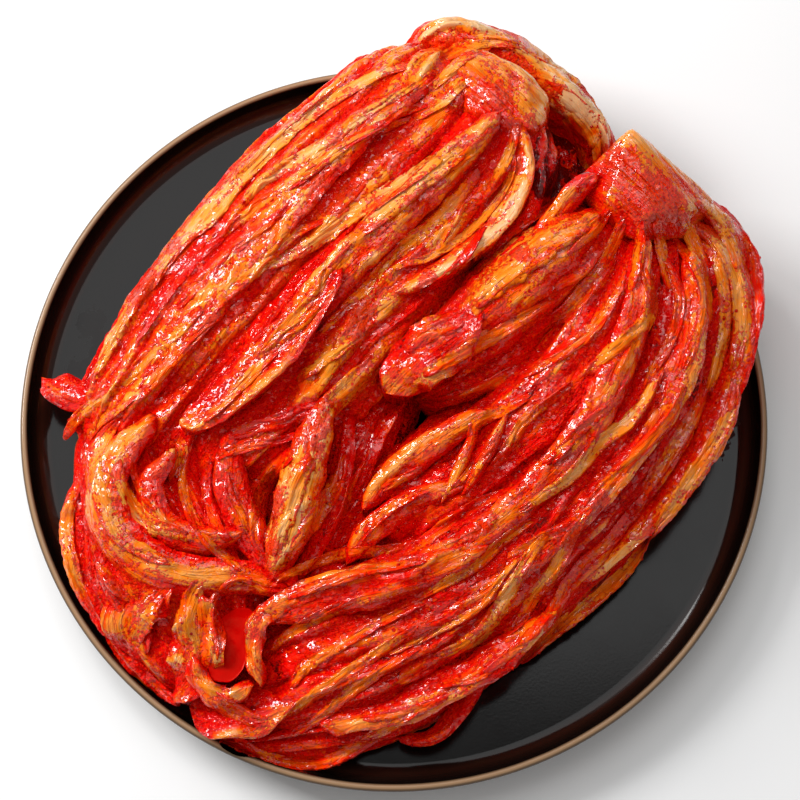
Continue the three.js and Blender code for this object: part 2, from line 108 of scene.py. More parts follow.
RIGHT_LOBES = [
    {"seed": 25, "leaves": 4, "tone": 0.30, "stations": [
        [82, 98, 122, 92, 40], [60, 48, 140, 34, 52], [28, 10, 120, -20, 49], [-6, -18, 84, -68, 45],
        [-36, -44, 32, -112, 39], [-62, -80, -42, -143, 27]]},
    {"seed": 26, "leaves": 4, "tone": 0.80, "stations": [
        [144, 34, 126, 30, 40], [146, 56, 128, 46, 46], [136, 78, 122, 61, 50], [117, 95, 111, 75, 54],
        [97, 103, 96, 84, 54], [80, 98, 88, 84, 46]]},
    {"seed": 21, "leaves": 6, "tone": 0.52, "stations": [
        [68, 88, 106, 62, 66], [50, 70, 84, 36, 69], [28, 52, 60, 14, 65], [10, 34, 36, -2, 57],
        [0, 20, 16, -10, 46]]},
    {"seed": 22, "leaves": 8, "tone": 0.40, "stations": [
        [80, 82, 122, 74, 64], [60, 34, 108, 14, 65], [30, 2, 78, -24, 59], [-2, -20, 44, -56, 53],
        [-22, -50, 14, -76, 44]]},
    {"seed": 23, "leaves": 9, "tone": 0.42, "stations": [
        [88, 86, 126, 82, 62], [74, 14, 126, 4, 61], [40, -26, 91, -52, 57], [2, -54, 49, -91, 52],
        [-38, -68, 3, -122, 45], [-70, -84, -56, -140, 33]]},
    {"seed": 24, "leaves": 6, "tone": 0.52, "stations": [
        [98, 96, 126, 88, 50], [102, 50, 145, 46, 54], [90, -6, 129, -9, 48], [62, -40, 100, -55, 43],
        [26, -74, 53, -100, 38], [-16, -98, 6, -130, 33], [-64, -110, -70, -147, 25]]},
]

# top and skirt: corners of the cut stub and of the slope at its foot. softening: one share for each split.
LEFT_CORE = {
    "centre": [40, 126, 34], "radii": [26, 19], "turn": -30, "tone": 0.58, "roughness": 1.0,
    "top": [[26, 144, 62], [20, 128, 68], [30, 106, 71], [46, 93, 70], [61, 104, 67], [63, 118, 66],
            [50, 134, 68]],
    "skirt": [], "softening": [0.42, 0.42, 0.42, 0.42],
}
RIGHT_CORE = {
    "centre": [101, 82, 34], "radii": [27, 14], "turn": -14, "tone": 0.6, "roughness": 0.5,
    "top": [[92, 99, 79], [70, 82, 60], [82, 70, 72], [98, 64, 74], [116, 69, 68], [127, 77, 56],
            [110, 90, 57]],
    "skirt": [[82, 64, 61], [96, 56, 66], [113, 60, 60]], "softening": [0.0, 0.0, 0.2, 0.4],
}
CORE_SIDES = 12

# path: [x, y, z, width]. tilt: lean at its start and end, in degrees. cup, ruffle, waves: as in the solids.
# tone: 0 is red with paste, 0.5 orange, 1 cream.
LEFT_LEAVES = [
    # strips peeling off beside the cleft
    {"path": [[50, 104, 66, 8], [50, 84, 64, 11], [40, 65, 64, 11], [20, 48, 63, 9], [0, 37, 60, 7]],
     "tilt": [30, 20], "cup": 0.1, "tone": 0.8},
    {"path": [[56, 98, 58, 8], [54, 78, 56, 10], [42, 58, 54, 9], [26, 41, 52, 7]], "tilt": [40, 20],
     "tone": 0.62},
    # raised leaf edges over the dome
    {"path": [[42, 108, 72, 12], [14, 78, 69, 16], [-13, 52, 66, 16], [-36, 26, 62, 15], [-59, -4, 55, 10]],
     "tilt": [-14, -10], "ruffle": 0.8, "waves": 3, "tone": 0.6},
    {"path": [[16, 128, 65, 14], [-20, 98, 65, 18], [-54, 58, 59, 18], [-84, 20, 52, 16],
              [-104, -10, 43, 10]],
     "tilt": [10, 14], "ruffle": 0.8, "waves": 3, "tone": 0.6},
    {"path": [[-20, 46, 66, 12], [-42, 18, 62, 18], [-62, -2, 57, 18], [-82, -14, 50, 14]],
     "tilt": [12, 24], "ruffle": 1.2, "waves": 2, "cup": 0.14, "tone": 0.4},
    # broad tongue beside the deep cleft, and the leaf next to it
    {"path": [[-26, -2, 54, 12], [-31, -20, 55, 16], [-36, -38, 53, 18], [-40, -56, 49, 16],
              [-48, -74, 41, 10]],
     "tilt": [6, -4], "cup": -0.12, "tone": 0.66},
    {"path": [[-18, -4, 42, 9], [-22, -28, 41, 13], [-29, -50, 38, 14], [-40, -72, 35, 10]],
     "tilt": [24, 24], "tone": 0.3},
    {"path": [[-62, -14, 50, 10], [-62, -36, 47, 14], [-54, -56, 44, 14], [-36, -76, 40, 8]],
     "tilt": [-20, 20], "tone": 0.3},
    # the swirl: two leaves folded round the lower left
    {"path": [[-92, -8, 46, 12], [-107, -24, 47, 18], [-112, -44, 45, 20], [-100, -63, 43, 20],
              [-78, -72, 42, 18], [-56, -72, 41, 16], [-38, -78, 39, 8]],
     "tilt": [24, 30], "thickness": 3.4, "cup": -0.1, "tone": 0.54},
    {"path": [[-84, -22, 49, 8], [-94, -36, 48, 12], [-88, -52, 47, 12], [-72, -58, 46, 12],
              [-56, -54, 45, 8]],
     "tilt": [20, 20], "cup": -0.1, "tone": 0.42},
    # frilled leaf tips
    {"path": [[-84, -70, 38, 14], [-94, -77, 38, 22], [-101, -86, 33, 22], [-97, -101, 26, 16]],
     "tilt": [10, 10], "ruffle": 3.2, "waves": 2.5, "tone": 0.56},
    {"path": [[-76, -76, 40, 10], [-74, -90, 38, 20], [-76, -104, 33, 22], [-84, -116, 25, 14]],
     "tilt": [-8, 10], "ruffle": 3.2, "waves": 2.5, "tone": 0.6},
    {"path": [[-115, -40, 30, 14], [-117, -58, 31, 18], [-114, -76, 28, 18], [-105, -92, 24, 12]],
     "tilt": [26, 26], "ruffle": 2.4, "waves": 2, "tone": 0.5},
    {"path": [[-112, 2, 34, 12], [-124, 4, 32, 13], [-134, 8, 29, 15], [-141, 12, 26, 10]],
     "tilt": [0, 30], "ruffle": 2, "waves": 1.5, "tone": 0.34},
]

RIGHT_LEAVES = [
    # pale stem over the short lobe, and its frilled end curling over the left quarter
    {"path": [[80, 66, 70, 12], [62, 51, 71, 22], [40, 33, 67, 22], [20, 17, 60, 14]], "cup": -0.12,
     "tone": 0.68},
    {"path": [[34, 28, 66, 14], [20, 17, 63, 24], [8, 9, 59, 26], [-3, 0, 50, 18]],
     "ruffle": 3, "waves": 2, "cup": -0.1, "tone": 0.44},
    # leaf corner standing beside the core
    {"path": [[80, 82, 70, 8], [72, 76, 69, 10], [63, 65, 66, 10], [50, 52, 61, 7]], "tilt": [-40, -20],
     "tone": 0.55},
    # long ribs across the bundle
    {"path": [[98, 58, 68, 10], [90, 16, 66, 14], [70, -22, 62, 14], [38, -54, 57, 13], [0, -72, 52, 9]],
     "tilt": [-10, -16], "ruffle": 0.8, "waves": 3, "tone": 0.55},
    {"path": [[116, 54, 62, 12], [112, 12, 60, 16], [88, -26, 56, 16], [52, -62, 52, 15], [10, -88, 47, 13],
              [-30, -100, 41, 10]], "tilt": [10, 8], "ruffle": 0.8, "waves": 3, "tone": 0.6},
    {"path": [[132, 56, 50, 12], [136, 26, 47, 15], [124, -6, 45, 15], [104, -40, 41, 13],
              [72, -72, 37, 9]],
     "tilt": [34, 30], "cup": -0.06, "tone": 0.7},
    {"path": [[36, -62, 57, 10], [4, -74, 54, 16], [-26, -80, 50, 18], [-54, -88, 43, 12]],
     "tilt": [-16, -20], "ruffle": 1.4, "waves": 3, "tone": 0.5},
    {"path": [[62, -84, 44, 10], [34, -104, 40, 15], [4, -118, 36, 16], [-28, -126, 31, 12]],
     "tilt": [16, 18], "ruffle": 1.4, "waves": 3, "tone": 0.6},
    # layered leaf ends beside the deep cleft
    {"path": [[36, -10, 60, 10], [16, -22, 56, 12], [0, -34, 51, 12],
              [-12, -46, 46, 8]], "tilt": [-10, -24],
     "tone": 0.45},
    {"path": [[30, -36, 54, 9], [8, -44, 51, 11], [-8, -54, 47, 11], [-18, -66, 41, 8]], "tilt": [-16, -24],
     "tone": 0.5},
    # pale straight shreds
    {"path": [[44, -10, 59, 4], [35, -27, 56.5, 6], [26, -42, 53, 4]], "thickness": 3.4, "tone": 0.66},
    {"path": [[33, -12, 58, 3.4], [26, -29, 56, 5], [18, -45, 52, 3.4]], "thickness": 3.2, "tone": 0.66},
    # leaf edge below the sauce
    {"path": [[-77, -99, 37, 7], [-74, -110, 35, 9], [-64, -117, 35, 10], [-53, -111, 36, 8]],
     "tilt": [20, 30], "ruffle": 1.6, "waves": 3, "thickness": 2.0, "tone": 0.52},
    # leaf that cups the sauce, its curled tip, and the frilled far end
    {"path": [[-34, -82, 46, 9], [-48, -84, 45, 10], [-54, -96, 41, 9], [-50, -112, 37, 8]],
     "tilt": [30, 20], "ruffle": 1.8, "waves": 3, "thickness": 1.8, "tone": 0.44},
    {"path": [[34, -108, 34, 7], [24, -120, 29, 9], [14, -129, 25, 8], [2, -130, 24, 6]], "tilt": [30, 40],
     "tone": 0.6},
    {"path": [[-34, -114, 33, 12], [-52, -120, 30, 20], [-66, -122, 27, 20], [-78, -118, 24, 12]],
     "tilt": [14, 8], "ruffle": 2.6, "waves": 2, "tone": 0.5},
]

POOL = {"x": -61, "y": -95, "level": 35, "half_length": 15, "half_width": 8.5, "depth": 9, "turn": 70}
POOL_RINGS = 24
POOL_SEGMENTS = 64

# ---- Camera, worked out from the plate's rim ----
CAMERA_AT = [2.44, -209.2, 790.8]
CAMERA_TARGET = [2.44, 5.1, 20.0]
LENS_MM = 89.5
SENSOR_MM = 36.0
FRAME_PX = 800
FOCAL_PX = LENS_MM / SENSOR_MM * FRAME_PX
# a pixel's size on the food: at its usual height, seen at the camera's usual slope in degrees
FOOD_Z = 55
FOOD_SLOPE = 74.5
MM_PER_PX = (CAMERA_AT[2] - FOOD_Z) / math.sin(math.radians(FOOD_SLOPE)) / FOCAL_PX

# ---- Leaves and stems that are laid on the surface where the photograph shows them ----
# Each row: tone, lift in mm, width in pixels, then the (x, y) pixels that it passes in the 800 x 800 frame.
LEFT_STRIPS = [
    (0.72, 2.0, 16, [(530, 52), (506, 44), (480, 44), (456, 52), (430, 66)]),
    (0.70, 2.0, 14, [(490, 48), (464, 60), (442, 80), (418, 98)]),
    (0.74, 2.0, 14, [(472, 76), (452, 92), (430, 108), (402, 124)]),
    (0.60, 2.0, 13, [(498, 120), (484, 140), (462, 160), (438, 180)]),
    (0.66, 2.0, 13, [(514, 112), (512, 140), (500, 170), (482, 198)]),
    (0.72, 2.2, 17, [(352, 76), (284, 133), (240, 176), (212, 207), (187, 237), (168, 262), (137, 302),
        (106, 355), (90, 385)]),
    (0.80, 2.0, 18, [(430, 60), (377, 74), (339, 94), (301, 122), (262, 155), (237, 183), (214, 212),
        (183, 240), (163, 268), (145, 298)]),
    (0.84, 2.0, 16, [(436, 74), (372, 112), (326, 143), (288, 168), (257, 189), (237, 212)]),
    (0.30, 1.4, 13, [(440, 100), (400, 112), (352, 140), (313, 170), (280, 196)]),
    (0.62, 1.8, 15, [(430, 112), (364, 138), (326, 163), (296, 183), (262, 204), (239, 222), (214, 245)]),
    (0.80, 2.2, 22, [(452, 150), (420, 170), (377, 199), (352, 214), (321, 235), (288, 255), (250, 272)]),
    (0.60, 1.6, 12, [(366, 232), (336, 263), (321, 280), (308, 303), (285, 326), (265, 349), (250, 372)]),
    (0.56, 1.8, 15, [(340, 212), (296, 234), (270, 255), (245, 278), (224, 298), (208, 320)]),
    (0.36, 1.4, 16, [(300, 200), (262, 228), (226, 256), (196, 286), (170, 318)]),
    (0.20, 1.2, 14, [(236, 226), (206, 250), (176, 284), (150, 318), (130, 350)]),
    (0.66, 1.8, 18, [(212, 300), (183, 324), (158, 349), (132, 374), (112, 396)]),
    (0.50, 1.6, 15, [(222, 312), (196, 336), (172, 362), (150, 388), (128, 408)]),
    (0.58, 1.6, 14, [(426, 226), (387, 262), (366, 291), (339, 316), (312, 342)]),
    (0.82, 2.2, 26, [(474, 140), (444, 163), (413, 184), (384, 210), (350, 240)]),
    (0.60, 1.8, 20, [(486, 160), (464, 194), (439, 222), (408, 245), (384, 266)]),
    (0.62, 2.4, 10, [(511, 142), (513, 166), (502, 192), (477, 224), (454, 242), (426, 257), (403, 263),
        (391, 272), (390, 290)]),
    (0.78, 1.6, 7, [(476, 196), (464, 208), (451, 230), (439, 255)]),
    (0.24, 1.4, 12, [(490, 214), (468, 248), (444, 274), (420, 296)]),
    (0.74, 2.0, 26, [(384, 352), (362, 376), (338, 398), (314, 416)]),
    (0.70, 1.8, 16, [(372, 330), (344, 346), (316, 366), (292, 384)]),
    (0.60, 1.6, 16, [(330, 300), (300, 322), (272, 344), (250, 364)]),
    (0.58, 1.6, 15, [(290, 336), (262, 362), (240, 384), (214, 410), (196, 426)]),
    (0.34, 1.8, 22, [(324, 404), (292, 416), (256, 428), (214, 440)]),
    (0.28, 1.4, 15, [(300, 434), (264, 444), (226, 452), (206, 460)]),
    (0.62, 1.6, 14, [(134, 376), (104, 398), (78, 420), (64, 440)]),
    (0.58, 1.6, 12, [(148, 384), (118, 406), (96, 426), (85, 446)]),
    (0.66, 2.0, 22, [(126, 412), (104, 439), (96, 466), (104, 502), (122, 533), (150, 553), (186, 566)]),
    (0.72, 2.0, 20, [(118, 446), (119, 478), (132, 506), (152, 524), (175, 533), (200, 545)]),
    (0.46, 1.4, 9, [(134, 440), (134, 474), (147, 500), (166, 520)]),
    (0.72, 1.8, 14, [(170, 428), (182, 448), (175, 470), (170, 490)]),
    (0.46, 1.8, 14, [(194, 430), (183, 474), (188, 508), (203, 538), (229, 559), (254, 578)]),
    (0.26, 1.6, 14, [(212, 450), (206, 490), (216, 523), (242, 556)]),
    (0.50, 1.6, 12, [(226, 462), (230, 492), (244, 520), (252, 548)]),
    (0.38, 2.0, 22, [(300, 446), (272, 470), (258, 500), (254, 530), (262, 566)]),
    (0.78, 2.4, 28, [(320, 446), (303, 477), (290, 508), (277, 538), (272, 572)]),
    (0.44, 2.0, 20, [(348, 440), (336, 480), (318, 513), (298, 543), (280, 570)]),
    (0.36, 1.6, 10, [(372, 452), (353, 486), (344, 514), (322, 552)]),
    (0.60, 1.8, 16, [(84, 470), (72, 500), (67, 530), (71, 562), (80, 592), (101, 625)]),
    (0.56, 1.6, 14, [(94, 548), (104, 574), (120, 592), (140, 604)]),
    (0.62, 2.0, 26, [(164, 584), (150, 606), (138, 630), (128, 654)]),
    (0.66, 2.0, 24, [(206, 574), (193, 597), (186, 625), (192, 650), (180, 672)]),
    (0.50, 1.4, 12, [(136, 664), (158, 686), (180, 706)]),
    (0.66, 2.0, 11, [(213, 672), (215, 650), (211, 625), (214, 600), (224, 582)]),
]

RIGHT_STRIPS = [
    (0.60, 1.8, 12, [(614, 200), (600, 222), (582, 240), (554, 264)]),
    (0.64, 2.0, 14, [(628, 205), (620, 232), (606, 262), (586, 292)]),
    (0.72, 2.0, 13, [(640, 208), (640, 238), (636, 270), (626, 302)]),
    (0.68, 2.0, 14, [(656, 208), (660, 238), (668, 270), (674, 305)]),
    (0.78, 2.0, 16, [(672, 202), (686, 226), (700, 258), (709, 296)]),
    (0.84, 2.2, 18, [(688, 192), (712, 214), (732, 246), (745, 287)]),
    (0.46, 1.8, 9, [(564, 196), (533, 217), (502, 240), (482, 263)]),
    (0.70, 1.8, 12, [(570, 172), (583, 186), (578, 206)]),
    (0.84, 2.6, 40, [(604, 214), (559, 232), (523, 257), (490, 283), (464, 312)]),
    (0.50, 2.0, 26, [(478, 306), (448, 326), (420, 342), (402, 360)]),
    (0.62, 1.8, 18, [(576, 290), (523, 319), (482, 342), (444, 362), (414, 380)]),
    (0.70, 2.2, 24, [(618, 246), (597, 281), (576, 306), (545, 326)]),
    (0.52, 1.8, 18, [(627, 252), (617, 286), (602, 314), (577, 339), (543, 362), (506, 384)]),
    (0.76, 2.2, 17, [(640, 254), (650, 290), (648, 316), (625, 341), (599, 364), (572, 385)]),
    (0.48, 1.8, 16, [(656, 245), (673, 276), (678, 306), (671, 339), (654, 370), (636, 400)]),
    (0.62, 2.0, 17, [(673, 237), (696, 268), (704, 306), (696, 344), (681, 383)]),
    (0.80, 2.2, 16, [(694, 235), (714, 260), (722, 293), (722, 332), (714, 370), (704, 404)]),
    (0.88, 2.4, 24, [(688, 219), (719, 245), (740, 276), (745, 306), (740, 344), (730, 383)]),
    (0.44, 1.6, 14, [(724, 214), (747, 244), (758, 281), (758, 319), (748, 357)]),
    (0.54, 1.8, 15, [(528, 362), (495, 380), (457, 396), (417, 408)]),
    (0.60, 2.0, 16, [(546, 384), (504, 410), (476, 424), (468, 442)]),
    (0.60, 2.0, 15, [(586, 374), (545, 406), (523, 426), (502, 456), (480, 482)]),
    (0.90, 2.0, 9, [(501, 432), (484, 457), (465, 490)]),
    (0.88, 2.0, 8, [(479, 456), (461, 478), (445, 494)]),
    (0.88, 2.4, 17, [(668, 354), (650, 390), (630, 419), (601, 444), (574, 472), (543, 495), (508, 518)]),
    (0.40, 1.6, 14, [(637, 372), (610, 406), (584, 428), (560, 452), (536, 474)]),
    (0.76, 2.0, 15, [(582, 428), (560, 450), (541, 468)]),
    (0.62, 2.0, 17, [(690, 372), (676, 411), (648, 444), (617, 475), (597, 498), (574, 523), (533, 544),
        (495, 564)]),
    (0.56, 1.8, 17, [(708, 372), (696, 411), (676, 444), (650, 482), (632, 518)]),
    (0.78, 2.0, 20, [(737, 366), (731, 406), (715, 442), (692, 477), (669, 511), (646, 541)]),
    (0.74, 2.0, 17, [(650, 536), (625, 570), (589, 603), (553, 633), (520, 664)]),
    (0.46, 1.8, 17, [(635, 503), (610, 539), (579, 569), (557, 605), (533, 633), (502, 660), (474, 682)]),
    (0.74, 2.0, 17, [(597, 498), (584, 514), (569, 539), (557, 566), (533, 595), (521, 618), (500, 641)]),
    (0.84, 2.0, 18, [(560, 522), (538, 546), (518, 579), (500, 605), (482, 633), (455, 650), (421, 664)]),
    (0.72, 1.8, 14, [(545, 512), (508, 536), (477, 564), (444, 584), (404, 606)]),
    (0.54, 1.8, 15, [(520, 486), (482, 503), (451, 523), (418, 547), (382, 566)]),
    (0.70, 1.8, 10, [(545, 534), (504, 572), (480, 603), (444, 628), (406, 646), (378, 658)]),
    (0.62, 1.6, 12, [(436, 462), (400, 480), (372, 496)]),
    (0.56, 1.8, 13, [(440, 484), (399, 504), (373, 523), (355, 546)]),
    (0.62, 2.0, 14, [(440, 536), (387, 551), (336, 557), (298, 571), (266, 588)]),
    (0.54, 1.8, 15, [(440, 556), (374, 570), (323, 584), (276, 600)]),
    (0.58, 1.8, 15, [(440, 582), (374, 599), (323, 617), (285, 637), (266, 658)]),
    (0.64, 2.0, 17, [(436, 596), (387, 617), (336, 648), (303, 670), (286, 694)]),
    (0.70, 2.0, 15, [(436, 618), (382, 650), (336, 681), (303, 703), (278, 722)]),
    (0.58, 1.8, 15, [(436, 634), (387, 668), (349, 694), (316, 719), (284, 738)]),
    (0.56, 1.8, 16, [(232, 736), (270, 757), (311, 762), (349, 752), (392, 727), (432, 700)]),
    (0.60, 1.8, 20, [(206, 690), (226, 706), (250, 718), (278, 726)]),
    (0.66, 1.8, 10, [(214, 604), (221, 588), (236, 577), (253, 582), (264, 598)]),
    (0.50, 1.6, 10, [(482, 641), (494, 661), (482, 676), (451, 682), (420, 692)]),
    (0.56, 1.6, 13, [(462, 690), (424, 706), (386, 716), (352, 722)]),
    (0.50, 1.6, 10, [(458, 708), (446, 728), (424, 738), (396, 738)]),
]
STRIP_COLUMNS = 17
STRIP_SPACING = 0.8
STRIP_LIFT = 0.75
# how far a strip's underside goes below the surface it lies on, and below its own bed at least and at most
STRIP_ROOT = 1.2
STRIP_DEPTH = 2.4
STRIP_REACH = 16.0

# Places where paste lies thickly: (x, y, radius) pixels in the same frame.
PASTE_PATCHES = [
    (490, 103, 24), (560, 150, 44), (648, 205, 36), (618, 160, 26), (209, 390, 20), (152, 290, 26),
    (190, 262, 24), (330, 190, 26), (395, 150, 22), (270, 300, 24), (152, 470, 28), (225, 490, 22),
    (262, 500, 20), (360, 320, 22), (430, 290, 20), (300, 424, 30), (370, 440, 26), (440, 410, 26),
    (236, 620, 30), (560, 400, 20), (525, 256, 8), (566, 534, 18), (600, 500, 12), (727, 402, 12),
    (500, 460, 22), (470, 520, 24), (400, 530, 22), (110, 590, 18), (345, 520, 18), (660, 300, 14),
    (420, 620, 22), (340, 600, 18), (610, 460, 16),
]

# Painted shade in the deep gap between the two roots, where the red is darkened to near black: (x, y, radius)
# pixels in the same frame.
GAP_SHADE_SPOTS = [(566, 152, 40), (545, 180, 22)]

# ---- How finely meshes are split, in columns and in mm ----
SIDE_INSET = 2.4
CREST_INSET = 0.8
LOBE_COLUMNS = 130
FLANK_COLUMNS = 22
LOBE_SPACING = 1.1
LEAF_COLUMNS = 15
LEAF_SPACING = 1.2
KEEL_REACH = 18.0
KEEL_ROOT = 1.2
LEAVES_PER_LOBE = 16
LOBE_LEAF_COLUMNS = 11
LOBE_LEAF_SPACING = 0.95
LOBE_LEAF_ROOT = 2.2
UNDER_COLUMNS = 4
MAP_REACH = 180.0
MAP_STEP = 0.8
MAP_SIZE = int(2 * MAP_REACH / MAP_STEP)
MAP_BLUR = 4.0
MAP_DEPTH = 2.6
FLAKES = 12000
FLAKE_CORNERS = 6
FLAKE_SIZE = 0.55

# Paste on a laid leaf: how much, how much it varies over patches of one size, and more at its tips and rim.
STRIP_PASTE = {"share": 0.34, "swing": 0.40, "patch": 6, "tips": 0.40, "rim": 0.26, "seed": 7}
LOBE_LEAF_PASTE = {"share": 0.38, "swing": 0.42, "patch": 7, "tips": 0.36, "rim": 0.22, "seed": 5}

# name, replaced node, lobes, core, leaves, strips, painted shade: how much redder and darker it is painted,
# for the shade its side lies in, and the seeds of its draws
QUARTERS = [
    {"name": "kimchi_left", "node": "cabbage_left", "lobes": LEFT_LOBES, "core": LEFT_CORE,
     "leaves": LEFT_LEAVES, "strips": LEFT_STRIPS, "painted_shade": 0.0, "seed": 1000, "strip_seed": 5000},
    {"name": "kimchi_right", "node": "cabbage_right", "lobes": RIGHT_LOBES, "core": RIGHT_CORE,
     "leaves": RIGHT_LEAVES, "strips": RIGHT_STRIPS, "painted_shade": 0.14, "seed": 2000, "strip_seed": 6000},
]

# ---- Studio: places and sizes in metres, power in watts ----
FLOOR_HALF = 3.0
FLOOR_DROP = 0.0004
WORLD_STRENGTH = 0.36
LIGHT_TARGET = (0, 0, 0.03)
LIGHTS = [
    {"name": "key_light", "place": (-0.85, 0.42, 0.68), "size": 0.42, "power": 11.2},
    {"name": "glint_light", "place": (-0.45, 0.55, 0.85), "size": 0.20, "power": 2.0},
    {"name": "back_light", "place": (-0.05, 0.42, 1.05), "size": 0.75, "power": 3.0},
]

# ---- Colours: a stem from darkest to palest, and paste ----
LEAF_STOPS = [
    # the first, near-black stop carries the painted shade of the deep gap between the roots
    (0.00, (0.14, 0.000, 0.000)),
    (0.08, (0.58, 0.000, 0.000)),
    (0.18, (0.84, 0.000, 0.000)),
    (0.34, (0.95, 0.010, 0.000)),
    (0.46, (1.00, 0.058, 0.000)),
    (0.58, (1.00, 0.145, 0.001)),
    (0.72, (1.00, 0.255, 0.012)),
    (0.86, (0.98, 0.360, 0.070)),
    (1.00, (0.94, 0.490, 0.210)),
]
PASTE_STOPS = [
    (0.36, (0.66, 0.000, 0.000)),
    (0.50, (0.86, 0.000, 0.000)),
    (0.62, (0.96, 0.014, 0.000)),
    (0.74, (1.00, 0.090, 0.000)),
]
FLECK_STOPS = [(0.20, (0.58, 0.000, 0.000)), (0.80, (0.92, 0.004, 0.000))]
FLAKE_STOPS = [(0.35, (0.72, 0.000, 0.000)), (0.65, (0.95, 0.012, 0.000))]
SAUCE_STOPS = [(0.30, (0.46, 0.000, 0.000)), (0.70, (0.55, 0.000, 0.000))]
WET_TINT = (1.0, 0.12, 0.06, 1)
BLACK = (0.0035, 0.0025, 0.0022)
BROWN = (0.030, 0.010, 0.006)
BRONZE = (0.36, 0.215, 0.115)
WORN_BRONZE = (0.05, 0.028, 0.016)
JUICE = (0.030, 0.001, 0.0005)
# glaze by its share of the plate's radius
GLAZE_STOPS = [
    (0.0, BLACK), (0.925, BLACK), (0.950, BROWN), (0.975, BLACK), (0.9815, BLACK), (0.9860, BRONZE),
    (0.9935, BRONZE), (0.9975, WORN_BRONZE),
]
SHINE_STOPS = [(0.30, (0.10, 0.10, 0.10)), (0.75, (0.17, 0.17, 0.17))]
FLOOR_GREY = (0.93, 0.93, 0.93, 1)


# ---- Number helpers ----
def mulberry(seed):
    """The solids' own repeatable random stream, 0 to 1."""
    state = seed
    mask = 0xFFFFFFFF

    def draw():
        nonlocal state
        state = (state + 0x6D2B79F5) & mask
        t = state
        t = ((t ^ (t >> 15)) * (1 | t)) & mask
        t = ((t + ((t ^ (t >> 7)) * (61 | t) & mask)) & mask) ^ t
        return ((t ^ (t >> 14)) & mask) / 4294967296

    return draw


def hashed(ix, iy, seed):
    """A repeatable value, 0 to 1, for each point of a whole-number grid."""
    mask = 0xFFFFFFFF
    h = (ix.astype(np.int64) * 374761393 + iy.astype(np.int64) * 668265263 + seed * 1442695041) & mask
    h = ((h ^ (h >> 13)) * 1274126177) & mask
    return ((h ^ (h >> 16)) & mask) / mask


def quintic(f):
    """0 to 1 with level ends, smoother than smoothstep."""
    return f * f * f * (f * (f * 6 - 15) + 10)


def noise(x, y, seed):
    """Gradient noise of two coordinates, about -1 to 1."""
    x, y = np.broadcast_arrays(np.asarray(x, float), np.asarray(y, float))
    ix, iy = np.floor(x), np.floor(y)
    fx, fy = x - ix, y - iy
    near_x, near_y = 1 - quintic(fx), 1 - quintic(fy)
    total = np.zeros_like(fx)
    for dx, weight_x in ((0, near_x), (1, quintic(fx))):
        for dy, weight_y in ((0, near_y), (1, quintic(fy))):
            angle = 2 * math.pi * hashed(ix + dx, iy + dy, seed)
            total = total + weight_x * weight_y * (np.cos(angle) * (fx - dx) + np.sin(angle) * (fy - dy))
    return 1.5 * total


def ridged(x, y, seed):
    """Noise with sharp valleys and round crests, 0 to 1."""
    return np.minimum(1.0, 1.7 * np.abs(noise(x, y, seed)))


def smoothstep(low, high, value):
    f = np.clip((value - low) / (high - low), 0, 1)
    return f * f * (3 - 2 * f)


def signed_power(value, power):
    return np.sign(value) * np.abs(value) ** power


def gap_root(a, b):
    """The root of each distance between two rows of points, as centripetal curves take it."""
    return np.sqrt(np.linalg.norm(b - a, axis=1, keepdims=True))


def smooth_curve(points, t):
    """The centripetal curve through points, at each t from 0 to 1."""
    inner = np.asarray(points, float)
    p = np.vstack([2 * inner[0] - inner[1], inner, 2 * inner[-1] - inner[-2]])
    place = np.asarray(t) * (len(inner) - 1)
    i = np.minimum(place.astype(int), len(inner) - 2)
    w = (place - i)[:, None]
    p0, p1, p2, p3 = p[i], p[i + 1], p[i + 2], p[i + 3]
    d0, d1, d2 = gap_root(p0, p1), gap_root(p1, p2), gap_root(p2, p3)
    m1 = ((p1 - p0) / d0 - (p2 - p0) / (d0 + d1) + (p2 - p1) / d1) * d1
    m2 = ((p2 - p1) / d1 - (p3 - p1) / (d1 + d2) + (p3 - p2) / d2) * d1
    return p1 + m1 * w + (3 * (p2 - p1) - 2 * m1 - m2) * w**2 + (2 * (p1 - p2) + m1 + m2) * w**3


def eased_value(values, t):
    """A list of stations at each t, eased between neighbours."""
    values = np.asarray(values, float)
    place = np.asarray(t) * (len(values) - 1)
    i = np.minimum(place.astype(int), len(values) - 2)
    ease = smoothstep(0, 1, place - i)
    return values[i] * (1 - ease) + values[i + 1] * ease


def unit(vectors):
    return vectors / np.maximum(np.linalg.norm(vectors, axis=-1, keepdims=True), 1e-9)


def path_length(points):
    return np.linalg.norm(np.diff(points, axis=0), axis=1).sum()


def circle(count):
    """Angles of evenly spaced points round a circle."""
    return np.linspace(0, 2 * math.pi, count, endpoint=False)


def blurred(values, sigma, axis):
    """Values smoothed along one axis, over a spread in grid steps."""
    reach = max(1, int(3 * sigma))
    weights = np.exp(-0.5 * (np.arange(-reach, reach + 1) / sigma) ** 2)
    weights /= weights.sum()
    pad = [(0, 0)] * values.ndim
    pad[axis] = (reach, reach)
    padded = np.pad(values, pad, mode="edge")
    return np.apply_along_axis(lambda line: np.convolve(line, weights, mode="valid"), axis, padded)


def grid_value(grid, row, column):
    """A grid read between its points."""
    r = np.clip(row, 0, grid.shape[0] - 1.001)
    c = np.clip(column, 0, grid.shape[1] - 1.001)
    i, j = np.floor(r).astype(int), np.floor(c).astype(int)
    fr, fc = (r - i)[..., None], (c - j)[..., None]
    near = grid[i, j] * (1 - fc) + grid[i, j + 1] * fc
    far = grid[i + 1, j] * (1 - fc) + grid[i + 1, j + 1] * fc
    return near * (1 - fr) + far * fr


